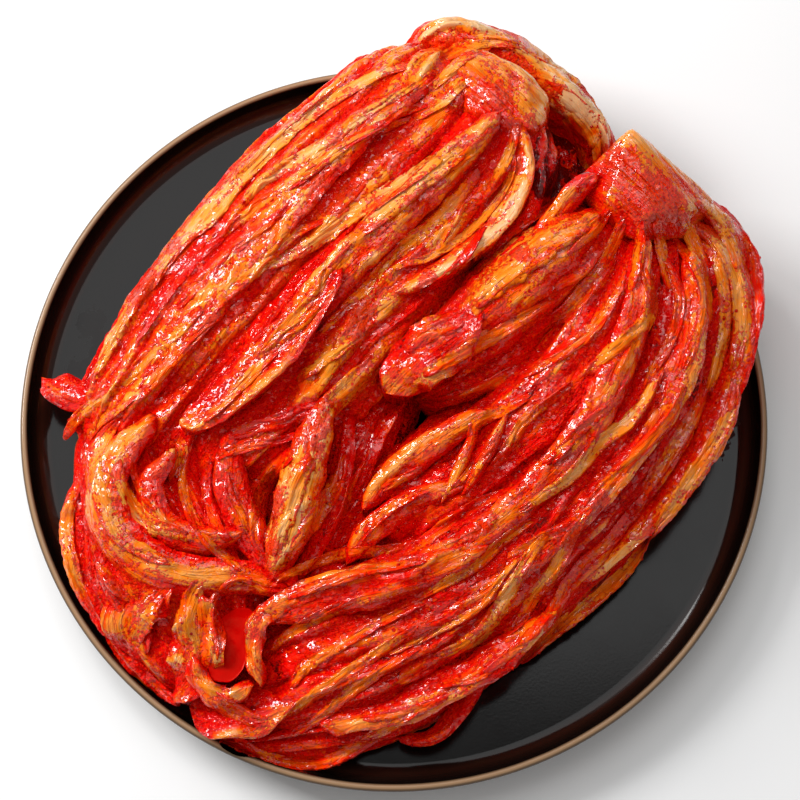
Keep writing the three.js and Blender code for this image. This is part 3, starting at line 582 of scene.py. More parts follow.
# ---- Meshes from rows of points ----
class Shape:
    """Points in millimetres with their flow and look, and the faces between them."""

    def __init__(self):
        self.points, self.flow, self.look, self.quads, self.tris = [], [], [], [], []
        self.count = 0

    def add(self, points, flow, look, quads, tris):
        self.points.append(points)
        self.flow.append(flow)
        self.look.append(look)
        self.quads.append(quads + self.count)
        self.tris.append(tris + self.count)
        self.count += len(points)

    def add_loops(self, rows, flow, look):
        """Loops of points skinned into a closed surface, whose two ends are capped."""
        m, n = rows.shape[:2]
        r, c = np.meshgrid(np.arange(m - 1), np.arange(n), indexing="ij")
        a, b = (r * n + c).ravel(), (r * n + (c + 1) % n).ravel()
        quads = np.stack([a, a + n, b + n, b], axis=1)
        around = np.arange(n)
        after = (around + 1) % n
        last = (m - 1) * n
        start = np.stack([np.full(n, m * n), around, after], axis=1)
        end = np.stack([np.full(n, m * n + 1), last + after, last + around], axis=1)
        points = np.vstack([rows.reshape(-1, 3), rows[0].mean(0), rows[-1].mean(0)])
        flow, look = flow.reshape(-1, 3), look.reshape(-1, 3)
        flow = np.vstack([flow, flow[0], flow[last]])
        look = np.vstack([look, look[0], look[last]])
        self.add(points, flow, look, quads, np.vstack([start, end]))

    def joined(self):
        return [np.vstack(part) for part in (self.points, self.flow, self.look, self.quads, self.tris)]


def link_object(name, data):
    piece = bpy.data.objects.new(name, data)
    bpy.context.scene.collection.objects.link(piece)
    return piece


def set_vectors(mesh, title, values):
    """A vector for each point of a mesh, as a named attribute."""
    layer = mesh.attributes.new(title, "FLOAT_VECTOR", "POINT")
    layer.data.foreach_set("vector", np.asarray(values, np.float32).ravel())


def make_object(name, points, quads, tris, material, flow=None):
    """A mesh object from arrays in millimetres about the plate's centre."""
    mesh = bpy.data.meshes.new(name)
    co = (np.asarray(points) + PLATE_CENTRE) * MM
    quads, tris = np.asarray(quads).reshape(-1, 4), np.asarray(tris).reshape(-1, 3)
    sizes = np.concatenate([np.full(len(quads), 4), np.full(len(tris), 3)])
    mesh.vertices.add(len(co))
    mesh.vertices.foreach_set("co", co.ravel())
    mesh.loops.add(int(sizes.sum()))
    mesh.loops.foreach_set("vertex_index", np.concatenate([quads.ravel(), tris.ravel()]).astype(np.int32))
    mesh.polygons.add(len(sizes))
    starts = np.concatenate([[0], np.cumsum(sizes)[:-1]])
    mesh.polygons.foreach_set("loop_start", starts.astype(np.int32))
    mesh.polygons.foreach_set("use_smooth", np.ones(len(sizes), bool))
    if flow is not None:
        set_vectors(mesh, "flow", flow)
    mesh.update(calc_edges=True)
    mesh.validate()
    mesh.materials.append(material)
    return link_object(name, mesh)


def read_vectors(items, title):
    """One vector of each mesh item, such as a vertex's place, as rows."""
    values = np.zeros(3 * len(items))
    items.foreach_get(title, values)
    return values.reshape(-1, 3)


# ---- Lobes ----
def leaf_relief(share, lift, swell):
    """Rises across a leaf, then drops to the leaf tucked under its edge."""
    start = (share - 0.04) % 1.0
    rising = 1.3 * start / LEAF_EDGE - 0.52
    falling = smoothstep(LEAF_EDGE, 1.0, start)
    return LEAF_STEP * lift * swell * (rising * (1 - falling) - 0.52 * falling)


def lobe_section():
    """A lobe's section: its angles, which of them are above the belly, and how far to the side and up."""
    top = np.linspace(0, math.pi, LOBE_COLUMNS)
    down = math.pi / 2 * (np.arange(1, FLANK_COLUMNS + 1) / FLANK_COLUMNS) ** 2
    angle = np.concatenate([top, math.pi + down, 2 * math.pi - down[-2::-1]])[None, :]
    above = np.sin(angle) >= 0
    rise = np.where(above, signed_power(np.sin(angle), 0.9), signed_power(np.sin(angle), 0.45))
    return angle, above, -signed_power(np.cos(angle), 0.82), rise


def lobe_grid(lobe):
    """The dense skin of a lobe: rows of points from root to tips, with how each lies and looks."""
    stations = np.array(lobe["stations"], float)
    length = path_length((stations[:, :2] + stations[:, 2:4]) / 2)
    t = np.linspace(0, 1, int(length / LOBE_SPACING))
    left, right = smooth_curve(stations[:, :2], t), smooth_curve(stations[:, 2:4], t)
    centre, across = (left + right) / 2, (right - left) / 2
    half = np.linalg.norm(across, axis=1)
    across = across / half[:, None]
    half = np.maximum(half - SIDE_INSET, 0.75 * half)
    crest = eased_value(stations[:, 4], t) - CREST_INSET
    belly = LOBE_BASE + BELLY * (crest - LOBE_BASE)
    from_end = np.minimum(np.minimum(t, 1 - t) / END_SHARE, 1)
    rounding = np.sqrt(1 - (1 - from_end) ** 2)

    angle, above, side, rise = lobe_section()
    side = side * half[:, None] * rounding[:, None]
    reach = np.where(above, (crest - belly)[:, None], (belly - LOBE_BASE)[:, None]) * rounding[:, None]
    middle = np.column_stack([centre, belly])[:, None]
    level = np.column_stack([across, np.zeros(len(t))])[:, None]
    base = middle + level * side[..., None]
    base[..., 2] += rise * reach
    normals = unit(np.cross(np.gradient(base, axis=1), np.gradient(base, axis=0)))
    normals *= np.sign((normals * (base - middle)).sum(2, keepdims=True) + 1e-9)

    # across and along the lobe, in millimetres; folds narrow with the lobe towards its root
    arc = 2.4 * half.mean()
    flank = -rise * (belly - LOBE_BASE).mean()
    u = np.where(above, angle / math.pi * arc, np.where(angle > 1.5 * math.pi, -flank, arc + flank))
    u = np.broadcast_to(u, base.shape[:2])
    v = np.broadcast_to((t * length)[:, None], base.shape[:2])
    return {"tone": lobe["tone"], "t": t, "base": base, "normals": normals, "u": u, "v": v, "rise": rise,
            "rounding": rounding, "length": length, "arc": arc}


def fold_height(u, v, leafy, seed):
    """Folds, wrinkles and crinkles along a leaf, in millimetres, and the same as 0 (deep) to 1 (crest)."""
    bend = 5.0 * noise(u / 26, v / 46, seed + 1)
    folds = ridged((u + bend) / 8.5, v / 60, seed + 2)
    bend = bend + 1.8 * noise(u / 9, v / 16, seed + 3)
    wrinkles = ridged((u + bend) / 3.6, v / 26, seed + 4)
    crinkles = noise((u + bend) / 1.7, v / 7, seed + 5)
    height = 2.0 * folds + 1.0 * wrinkles + 0.15 * crinkles
    puckers = 0.45 * noise((u + bend) / 2.8, v / 4.2, seed + 6) + 0.12 * noise(u / 1.5, v / 2, seed + 7)
    return height + leafy * puckers - 2.0, 0.62 * folds + 0.30 * wrinkles + 0.08 * crinkles


def leaf_habits(leaves, seed):
    """Each leaf's lift, and the waves and phase of its swelling along the lobe."""
    draw = mulberry(seed)
    return np.array([[0.55 + 0.45 * draw(), 0.8 + 2 * draw(), draw()] for _ in range(leaves)])


def lobe_shape(shape, lobe):
    """Adds a lobe with its leaf steps and folds, and returns its grid with the finished skin."""
    grid, leaves, seed = lobe_grid(lobe), lobe["leaves"], lobe["seed"]
    u, v, t = grid["u"], grid["v"], grid["t"][:, None]
    place = leaves * u / grid["arc"] + 0.30 * noise(u / 30, v / 40, seed + 7)
    index = np.clip(np.floor(place), 0, leaves - 1).astype(int)
    lift, waves, phase = np.moveaxis(leaf_habits(leaves, seed)[index], -1, 0)
    swell = 0.7 + 0.3 * np.sin(2 * math.pi * (waves * t + phase))
    step = leaf_relief(place % 1.0, lift, swell)
    height, depth = fold_height(u, v, 0.3 + 0.9 * t, 100 * seed)
    fade = np.minimum(1, 2 * grid["rounding"])[:, None] * (1 - smoothstep(0.60, 0.97, -grid["rise"]))
    grid["skin"] = grid["base"] + grid["normals"] * ((step + height) * fade)[..., None]
    tone = lobe["tone"] + 0.16 * (lift - 0.78) + 0.22 * noise(u / 14, v / 60, seed + 8)
    paste = 0.46 + 0.42 * noise(u / 9, v / 18, seed + 9)
    depth = depth * (0.75 + 0.25 * smoothstep(0.0, 0.5, (place - 0.04) % 1.0))
    look = np.stack([tone, paste, depth], axis=2)
    shape.add_loops(grid["skin"], flow_of(u, v, seed), look)
    return grid


# ---- Leaves ----
def flow_of(across_mm, along_mm, seed):
    """The flow attribute: places across and along a leaf, and a number that tells leaves apart."""
    return np.stack(np.broadcast_arrays(across_mm, along_mm, float(seed % 97)), axis=2)


def keel(tree, points, inner):
    """How far a leaf's underside goes down to bed into what carries it; none where nothing is near."""
    fall = np.zeros(points.shape[:2])
    for row, column in np.ndindex(*fall.shape):
        hit = tree.ray_cast(Vector(points[row, column]), Vector((0, 0, -1)), KEEL_REACH)
        if hit[0] is not None:
            fall[row, column] = hit[3] + KEEL_ROOT
    return blurred(blurred(fall, 1.0, 0), 0.7, 1) * inner


def leaf_axes(path, tilt, t):
    """A leaf's middle line, and at each point of it the ways across and out of the leaf."""
    spine = smooth_curve(path[:, :3], t)
    along = unit(np.gradient(spine, axis=0))
    lean = np.radians(tilt[0] * (1 - t) + tilt[1] * t)[:, None]
    level = unit(np.cross(along, [0, 0, 1]))
    across = level * np.cos(lean) + np.cross(along, level) * np.sin(lean)
    return spine[:, None], across[:, None], np.cross(across, along)[:, None]


def leaf_ribs(u, v, leafy, seed):
    """Fibres and ribs along a leaf, with puckers over its leafy part, in millimetres."""
    bend = 1.2 * noise(u / 6, v / 12, seed + 9)
    ribs = 0.25 * noise(u / 1.5, v / 24, seed + 3) + 1.3 * (ridged(u / 4.4 + bend, v / 22, seed + 4) - 0.55)
    puckers = 0.45 * noise(u / 2.6, v / 3.8, seed + 7) + 0.12 * noise(u / 1.2, v / 1.8, seed + 8)
    return ribs + leafy * puckers


def leaf_rise(leaf, s, t, v, width, seed):
    """How far a leaf stands off its middle line: its cup, its frill and its edges, which settle."""
    ruffle, waves = leaf.get("ruffle", 0), leaf.get("waves", 1)
    frill = ruffle * s * np.sin(2 * math.pi * waves * (t[:, None] + 0.21 * np.sign(s)))
    frill = frill + 0.35 * ruffle * s**2 * noise(v / 4.5, 2.0 * s, seed + 2)
    settle = 0 if ruffle > 2 else 1.6
    return leaf.get("cup", 0) * width[:, None] * (s * s - 0.4) + frill - settle * s**4


def leaf_shape(shape, leaf, tree, seed):
    """A leaf of its solid's form, with fibres, a wavering edge and folds in it."""
    path = np.array(leaf["path"], float)
    length = path_length(path[:, :3])
    t = np.linspace(0.002, 0.998, max(24, int(length / LEAF_SPACING)))
    s = np.linspace(-1, 1, LEAF_COLUMNS)[None, :]
    spine, across, normal = leaf_axes(path, leaf.get("tilt", [0, 0]), t)
    from_end = np.minimum(t, 1 - t) * length
    ends = np.minimum(1, from_end / 5) ** 0.5
    width = eased_value(path[:, 3], t) * (0.55 + 0.45 * np.sin(math.pi * t) ** 0.5) * ends
    u, v = s * width[:, None] / 2, (t * length)[:, None]
    waver = 1 + 0.10 * noise(v / 7, 3.3 * np.sign(s), seed + 1) * s**2
    ribs = leaf_ribs(u, v, 1.15 - leaf["tone"], seed)
    rise = leaf_rise(leaf, s, t, v, width, seed)
    half = leaf.get("thickness", LEAF_THICKNESS) * (0.5 - 0.40 * np.abs(s) ** 3)
    half = half * np.minimum(1, ends + 0.15)[:, None]
    middle = spine + across * (u * waver)[..., None]
    below = middle + normal * (rise - half)[..., None]
    below[..., 2] -= keel(tree, below, np.abs(s) < 0.95)
    top = middle + normal * (rise + half + ribs)[..., None]

    across_mm = np.concatenate([u, u[:, ::-1]], axis=1)
    along_mm = np.broadcast_to(v, across_mm.shape)
    rim = np.abs(np.concatenate([s, s], axis=1)) ** 3
    tip = 1 - smoothstep(0, 10, from_end)[:, None]
    tone = leaf["tone"] + 0.24 * noise(across_mm / 5, along_mm / 20, seed + 5) - 0.30 * rim - 0.25 * tip
    paste = 0.46 + 0.50 * noise(across_mm / 6, along_mm / 10, seed + 6) + 0.25 * rim + 0.2 * tip
    depth = np.concatenate([ribs, ribs[:, ::-1]], axis=1) * 0.5 + 0.5
    skin = np.concatenate([below, top[:, ::-1]], axis=1)
    shape.add_loops(skin, flow_of(across_mm, along_mm, seed), np.stack([tone, paste, depth], axis=2))


# ---- Leaves laid along a surface, tucked in at one edge and loose at the other ----
def lapped_height(free, ends, ribs, lift, sink, crispness):
    """How high a laid leaf stands above its bed, where free runs from -1, its held edge, to 1."""
    loose, held = np.maximum(free, 0), np.maximum(-free, 0)
    crown = (0.62 + 0.38 * free) * (1 - loose**crispness) * (1 - held**3)
    sunk = held**4 + loose ** (crispness + 4)
    return lift * crown * ends - sink * sunk - 1.6 * (1 - ends) + ribs * (1 - sunk)


def under_columns(columns):
    """The few columns of a laid leaf that its underside has."""
    return np.linspace(0, columns - 1, UNDER_COLUMNS).round().astype(int)


def add_laid_leaf(shape, top, below, u, t, length, tone, paste, seed):
    """Skins a laid leaf from its top and its coarser underside; its rim and its tips are redder."""
    s = np.linspace(-1, 1, u.shape[1])[None, :]
    thin = under_columns(u.shape[1])
    across_mm = np.concatenate([u, u[:, thin][:, ::-1]], axis=1)
    along_mm = np.broadcast_to((t * length)[:, None], across_mm.shape)
    rim = np.concatenate([s, s[:, thin]], axis=1) ** 2
    tips = 1 - smoothstep(0, 18, np.minimum(t, 1 - t) * length)[:, None]
    shade = tone + 0.14 * noise(across_mm / 6, along_mm / 22, seed + paste["seed"]) - 0.22 * tips - 0.16 * rim
    patches = noise(across_mm / paste["patch"], along_mm / 13, seed + paste["seed"] + 1)
    pasted = paste["share"] + paste["swing"] * patches + paste["tips"] * tips + paste["rim"] * rim
    look = np.stack([shade, pasted, np.full_like(shade, 0.5)], axis=2)
    skin = np.concatenate([top, below[:, ::-1]], axis=1)
    shape.add_loops(skin, flow_of(across_mm, along_mm, seed), look)


def lobe_leaf(shape, grid, draw, seed):
    """One long leaf lying along a lobe."""
    length, arc = grid["length"], grid["arc"]
    span = (0.25 + 0.4 * draw()) * length
    start = draw() * max(1.0, length * 0.94 - span) + 0.03 * length
    wide = 7 + 8 * draw()
    column = (0.06 + 0.88 * draw()) * LOBE_COLUMNS
    lift = 0.7 + 1.1 * draw()
    t = np.linspace(0, 1, max(16, int(span / LOBE_LEAF_SPACING)))
    s = np.linspace(-1, 1, LOBE_LEAF_COLUMNS)[None, :]
    v = (t * span)[:, None]
    taper = np.sin(math.pi * np.clip(t, 0.004, 0.996)) ** 0.35
    ragged = 1 + 0.2 * noise(v / 7, 4.0 * np.sign(s), seed + 1)
    u = s * ragged * (wide / 2 * taper)[:, None]
    drift = 3.5 * noise(v / 40, 0.5, seed + 2)
    at_row = np.broadcast_to((start + v) / length * (len(grid["skin"]) - 1), u.shape)
    at_column = np.clip(column + (u + drift) / arc * LOBE_COLUMNS, 0, LOBE_COLUMNS - 1)
    bed = grid_value(grid["skin"], at_row, at_column)
    bed = 0.5 * bed + 0.5 * blurred(bed, 2.5, 0)
    normal = unit(grid_value(grid["normals"], at_row, at_column))
    free = s if draw() > 0.5 else -s
    ribs = 0.8 * (ridged(u / 3.4, v / 30, seed + 3) - 0.45) + 0.15 * noise(u / 1.4, v / 10, seed + 4)
    ribs = ribs + 0.35 * noise(u / 2.4, v / 3.6, seed + 7)
    ends = smoothstep(0, 9, np.minimum(t, 1 - t) * span)[:, None]
    height = lapped_height(free, ends, ribs, lift, 1.2, 10)
    thin = under_columns(LOBE_LEAF_COLUMNS)
    top = bed + normal * height[..., None]
    below = bed[:, thin] - LOBE_LEAF_ROOT * normal[:, thin]
    tone = grid["tone"] + 0.5 * (draw() - 0.45)
    add_laid_leaf(shape, top, below, u, t, span, tone, LOBE_LEAF_PASTE, seed)


# ---- The photograph's view ----
def view_axes():
    """Where the camera is, and its ways forward, right and up."""
    place, target = np.array(CAMERA_AT), np.array(CAMERA_TARGET)
    forward = unit(target - place)
    right = unit(np.cross(forward, [0, 0, 1]))
    return place, forward, right, np.cross(right, forward)


def rays_through(px):
    """Where the camera is, and the direction it sees each pixel in."""
    place, forward, right, up = view_axes()
    x, y = (px[..., 0] - FRAME_PX / 2) / FOCAL_PX, (FRAME_PX / 2 - px[..., 1]) / FOCAL_PX
    return place, unit(forward + x[..., None] * right + y[..., None] * up)


def pixel_of(points):
    """The pixel that each point is seen at."""
    place, forward, right, up = view_axes()
    away = points - place
    scale = FOCAL_PX / (away @ forward)
    return np.stack([FRAME_PX / 2 + (away @ right) * scale, FRAME_PX / 2 - (away @ up) * scale], axis=-1)


def surface_tree(shapes):
    """What the camera's rays meet: every quad and triangle laid so far."""
    points, faces, count = [], [], 0
    for shape in shapes:
        co, _, _, quads, tris = shape.joined()
        points.append(co)
        faces += (quads + count).tolist() + (tris + count).tolist()
        count += len(co)
    return BVHTree.FromPolygons(np.vstack(points).tolist(), faces)


def seen_depths(tree, place, directions):
    """How far from the camera the surface lies in each direction; gaps take their row's middle."""
    start = Vector(place)
    depths = np.full(directions.shape[:2], np.nan)
    for row, column in np.ndindex(*depths.shape):
        hit = tree.ray_cast(start, Vector(directions[row, column]))
        if hit[0] is not None:
            depths[row, column] = hit[3]
    middle = np.nanmedian(depths)
    by_row = np.array([np.nanmedian(row) if np.isfinite(row).any() else middle for row in depths])
    return np.where(np.isnan(depths), by_row[:, None], depths)


def strip_pixels(path, wide, t, length, s, seed):
    """The pixels that a strip covers, row by row, and how far each is from its middle line."""
    v = (t * length)[:, None]
    centre = smooth_curve(path, t)
    along = unit(np.gradient(centre, axis=0))
    across = np.stack([-along[:, 1], along[:, 0]], axis=1)
    wander = 3.0 * noise(t * length / 30, 0.5, seed) * np.sin(math.pi * t)
    centre = centre + across * wander[:, None]
    ragged = 1 + 0.16 * noise(v / 6, 4.0 * np.sign(s), seed + 1)
    ragged = ragged + 0.10 * noise(v / 2.2, 9.0 * np.sign(s), seed + 2)
    offset = s * ragged * (wide / 2 * np.sin(math.pi * t) ** 0.42)[:, None]
    return centre[:, None] + across[:, None] * offset[..., None], offset


def strip_ribs(u, v, leafy, seed):
    """Ribs and fibres along a strip, with puckers over its leafy part, in millimetres."""
    bend = 0.8 * noise(u / 5, v / 11, seed + 3)
    ribs = 1.1 * (ridged(u / 2.9 + bend, v / 24, seed + 4) - 0.45) + 0.16 * noise(u / 1.1, v / 9, seed + 5)
    puckers = 0.5 * noise(u / 2.6 + bend, v / 3.6, seed + 6) + 0.12 * noise(u / 1.1, v / 1.7, seed + 9)
    return ribs + leafy * puckers


def strip_shape(shape, tree, strip, seed):
    """A leaf or stem that follows its pixels over the surface."""
    tone, lift, wide, path = strip
    path = np.array(path, float)
    length = path_length(path) * MM_PER_PX
    t = np.linspace(0.004, 0.996, max(14, int(length / STRIP_SPACING)))
    s = np.linspace(-1, 1, STRIP_COLUMNS)[None, :]
    px, offset = strip_pixels(path, wide, t, length, s, seed)
    place, directions = rays_through(px)
    depths = seen_depths(tree, place, directions)
    smooth = blurred(blurred(depths, 4.0, 0), 2.0, 1)
    bed = blurred(blurred(np.minimum(depths, smooth), 2.0, 0), 1.0, 1)

    u = offset * MM_PER_PX
    free = s if seed % 2 else -s
    ends = smoothstep(0, 9, np.minimum(t, 1 - t) * length)[:, None]
    ribs = strip_ribs(u, (t * length)[:, None], 1.15 - tone, seed)
    height = lapped_height(free, ends, ribs, STRIP_LIFT * lift, 1.3, 14)
    thin = under_columns(STRIP_COLUMNS)
    top = place + directions * (bed - height)[..., None]
    under = np.clip(depths + STRIP_ROOT, bed + STRIP_DEPTH, bed + STRIP_REACH)
    below = place + directions[:, thin] * under[:, thin, None]
    add_laid_leaf(shape, top, below, u, t, length, tone, STRIP_PASTE, seed)


# ---- Root cores ----
def core_corners(core):
    """The corners that a core is the hull of: its cut top, its skirt and two rings round its foot."""
    x, y, z = core["centre"]
    turn = math.radians(core["turn"])
    corners = [Vector(corner) for corner in core["top"] + core["skirt"]]
    for height, share in ((WELL_Z, 0.8), (z, 1.0)):
        for i in range(CORE_SIDES):
            around = 2 * math.pi * i / CORE_SIDES
            a, b = core["radii"][0] * share * math.cos(around), core["radii"][1] * share * math.sin(around)
            corners.append(Vector((x + a * math.cos(turn) - b * math.sin(turn),
                                   y + a * math.sin(turn) + b * math.cos(turn), height)))
    return corners


def core_mesh(core):
    """The cut stub of a cabbage's heart: its hull, split finely and rounded."""
    hull = bmesh.new()
    for corner in core_corners(core):
        hull.verts.new(corner)
    bmesh.ops.convex_hull(hull, input=hull.verts)
    loose = [v for v in hull.verts if not v.link_faces]
    bmesh.ops.delete(hull, geom=loose, context="VERTS")
    bmesh.ops.triangulate(hull, faces=hull.faces)
    for share in core["softening"]:
        bmesh.ops.subdivide_edges(hull, edges=hull.edges, cuts=1, use_grid_fill=True)
        bmesh.ops.smooth_vert(hull, verts=hull.verts, factor=share, use_axis_x=True, use_axis_y=True,
                              use_axis_z=True)
    bmesh.ops.triangulate(hull, faces=hull.faces)
    hull.verts.ensure_lookup_table()
    points = np.array([v.co[:] for v in hull.verts])
    tris = np.array([[v.index for v in f.verts] for f in hull.faces])
    hull.free()
    return points, tris


def core_shape(shape, core, seed):
    """Adds a core, rough with torn fibres."""
    points, tris = core_mesh(core)
    x, y, z = points.T
    rough = 1.1 * noise(x / 9, y / 9, seed) + 0.35 * noise(x / 3, y / 3, seed + 1)
    rough = rough + 1.2 * (ridged((x + y) / 6, (x - y) / 22, seed + 3) - 0.6)
    outward = unit(points - np.array(core["centre"], float))
    skin = points + outward * core["roughness"] * rough[:, None]
    flow = np.column_stack([x + y, z * 1.5, np.full(len(points), float(seed % 97))])
    tone = core["tone"] + 0.15 * noise(skin[:, 0] / 12, skin[:, 1] / 12, seed + 2)
    look = np.column_stack([tone, np.full(len(points), 0.5), np.full(len(points), 0.7)])
    shape.add(skin, flow, look, np.zeros((0, 4), int), tris)


# ---- Material helpers ----
def node_material(name):
    material = bpy.data.materials.new(name)
    material.use_nodes = True
    tree = material.node_tree
    tree.nodes.clear()
    output = tree.nodes.new("ShaderNodeOutputMaterial")
    shader = tree.nodes.new("ShaderNodeBsdfPrincipled")
    tree.links.new(shader.outputs[0], output.inputs[0])
    return material, tree, shader


def set_sockets(node, values):
    for name, value in values.items():
        node.inputs[name].default_value = value


def object_place(tree):
    """Where a point is, in metres."""
    return tree.nodes.new("ShaderNodeTexCoord").outputs["Object"]


def attribute_node(tree, name):
    node = tree.nodes.new("ShaderNodeAttribute")
    node.attribute_name = name
    return node.outputs["Vector"]


def split_node(tree, vector):
    node = tree.nodes.new("ShaderNodeSeparateXYZ")
    tree.links.new(vector, node.inputs[0])
    return node.outputs


def math_node(tree, operation, a, b=None, clamp=False):
    node = tree.nodes.new("ShaderNodeMath")
    node.operation = operation
    node.use_clamp = clamp
    for socket, value in zip(node.inputs, (a, b)):
        if value is None:
            continue
        if isinstance(value, (int, float)):
            socket.default_value = value
        else:
            tree.links.new(value, socket)
    return node.outputs[0]


def share_sum(tree, start, parts, clamp=False):
    """start, with each part added at its share."""
    for value, share in parts:
        start = math_node(tree, "ADD", start, math_node(tree, "MULTIPLY", value, share), clamp)
    return start


def swing_sum(tree, start, parts):
    """start, with each part's swing either side of its middle added at its share."""
    swings = [(math_node(tree, "SUBTRACT", value, 0.5), share) for value, share in parts]
    return share_sum(tree, start, swings)


def stepped(tree, value, middle, gain):
    """0 below the middle and 1 above it, over a band that narrows as the gain rises."""
    above = math_node(tree, "MULTIPLY", math_node(tree, "SUBTRACT", value, middle), gain)
    return math_node(tree, "ADD", above, 0.5, clamp=True)


def ridge_node(tree, value, sharpness):
    """1 along the lines where a noise passes its middle, falling away on both sides of them."""
    away = math_node(tree, "ABSOLUTE", math_node(tree, "SUBTRACT", value, 0.5))
    return math_node(tree, "SUBTRACT", 1.0, math_node(tree, "MULTIPLY", away, sharpness), clamp=True)


def noise_node(tree, vector, scale, detail, roughness, distortion=0.0):
    node = tree.nodes.new("ShaderNodeTexNoise")
    set_sockets(node, {"Scale": scale, "Detail": detail, "Roughness": roughness, "Distortion": distortion})
    tree.links.new(vector, node.inputs["Vector"])
    return node.outputs["Fac"]


def mapped(tree, vector, scale, location=(0, 0, 0)):
    """A place scaled, then moved."""
    node = tree.nodes.new("ShaderNodeMapping")
    set_sockets(node, {"Scale": scale, "Location": location})
    tree.links.new(vector, node.inputs["Vector"])
    return node.outputs[0]


def ramp_node(tree, value, stops):
    node = tree.nodes.new("ShaderNodeValToRGB")
    ramp = node.color_ramp
    while len(ramp.elements) < len(stops):
        ramp.elements.new(0.5)
    for element, (place, colour) in zip(ramp.elements, stops):
        element.position = place
        element.color = (*colour, 1)
    tree.links.new(value, node.inputs[0])
    return node.outputs[0]


def mix_colours(tree, factor, a, b):
    node = tree.nodes.new("ShaderNodeMix")
    node.data_type = "RGBA"
    tree.links.new(factor, node.inputs[0])
    for socket, value in ((node.inputs[6], a), (node.inputs[7], b)):
        if isinstance(value, tuple):
            socket.default_value = (*value, 1)
        else:
            tree.links.new(value, socket)
    return node.outputs[2]


def bump_node(tree, height, strength, height_mm):
    """The normal of a relief whose height of 1 stands for height_mm."""
    bump = tree.nodes.new("ShaderNodeBump")
    set_sockets(bump, {"Strength": strength, "Distance": height_mm * MM})
    tree.links.new(height, bump.inputs["Height"])
    return bump.outputs[0]


# ---- Materials ----
def flecks(tree, place, density, scale):
    """Chilli flecks of one size, more of them where the paste lies, and their red."""
    cells = tree.nodes.new("ShaderNodeTexVoronoi")
    cells.inputs["Scale"].default_value = scale
    tree.links.new(place, cells.inputs["Vector"])
    chance = tree.nodes.new("ShaderNodeSeparateColor")
    tree.links.new(cells.outputs["Color"], chance.inputs[0])
    there = math_node(tree, "LESS_THAN", chance.outputs[0], share_sum(tree, 0.02, [(density, 0.85)]))
    reach = share_sum(tree, 0.20, [(chance.outputs[1], 0.30)])
    inside = math_node(tree, "SUBTRACT", reach, cells.outputs["Distance"])
    shape = math_node(tree, "MULTIPLY", inside, 9.0, clamp=True)
    return math_node(tree, "MULTIPLY", shape, there), ramp_node(tree, chance.outputs[2], FLECK_STOPS)


def leaf_patterns(tree):
    """What the leaf's colour, relief and wetness are mixed from, by name."""
    flow, place = attribute_node(tree, "flow"), object_place(tree)
    tone, paste, depth = split_node(tree, attribute_node(tree, "look"))
    fibres = noise_node(tree, mapped(tree, flow, (1.3, 0.06, 1)), 1.0, 2, 0.6)
    streaks = noise_node(tree, mapped(tree, flow, (0.36, 0.022, 1)), 1.0, 3, 0.6)
    crinkles = noise_node(tree, mapped(tree, flow, (0.40, 0.15, 1)), 1.0, 2, 0.5, 1.2)
    blots = noise_node(tree, place, 95, 4, 0.6)
    clumps = noise_node(tree, place, 640, 2, 0.6)
    laid = swing_sum(tree, paste, [(blots, 1.3), (depth, -0.8), (streaks, -0.5)])
    pasted = stepped(tree, swing_sum(tree, laid, [(clumps, 1.7)]), 0.55, 8.0)
    leafy = swing_sum(tree, 0.55, [(tone, -1.4), (blots, 1.6)])
    leafy = share_sum(tree, leafy, [(pasted, 0.3)], clamp=True)
    fleck, fleck_red = flecks(tree, place, stepped(tree, laid, 0.62, 1.4), 560)
    return {
        "tone": tone, "depth": depth, "fibres": fibres, "streaks": streaks, "crinkles": crinkles,
        "blots": blots, "clumps": clumps, "pasted": pasted, "leafy": leafy,
        "ridges": math_node(tree, "MULTIPLY", ridge_node(tree, crinkles, 7.0), leafy),
        "pleats": ridge_node(tree, streaks, 6.0),
        "swells": noise_node(tree, place, 360, 1.0, 0.5), "fleck": fleck, "fleck_red": fleck_red,
    }


def leaf_colour(tree, p):
    """Cream to red by how pale the leaf is, under paste and flecks; the depth term paints shade, darker red
    in valleys, and paints light, paler on crests.
    """
    # painted shade and light: depth lowers the paleness in valleys and raises it on crests
    pale = swing_sum(tree, 0.50, [(p["tone"], 0.90), (p["depth"], 0.66), (p["fibres"], 0.26),
                                  (p["streaks"], 0.50), (p["blots"], 0.40)])
    pale = share_sum(tree, pale, [(p["ridges"], 0.12), (p["pleats"], 0.10)])
    paste_red = ramp_node(tree, p["clumps"], PASTE_STOPS)
    cover = math_node(tree, "MULTIPLY", p["pasted"], 0.85)
    colour = mix_colours(tree, cover, ramp_node(tree, pale, LEAF_STOPS), paste_red)
    return mix_colours(tree, p["fleck"], colour, p["fleck_red"])


def leaf_relief_node(tree, p):
    """Crinkles, clumps of paste, pleats, fibres and flecks, as a height."""
    lumps = math_node(tree, "MULTIPLY", stepped(tree, p["clumps"], 0.52, 4.0), p["pasted"])
    loose = share_sum(tree, 0.05, [(p["leafy"], 0.14)])
    return share_sum(tree, 0.0, [(p["ridges"], 0.40), (lumps, 0.42), (p["pleats"], 0.42),
                                 (p["fibres"], loose), (p["fleck"], 0.16)])


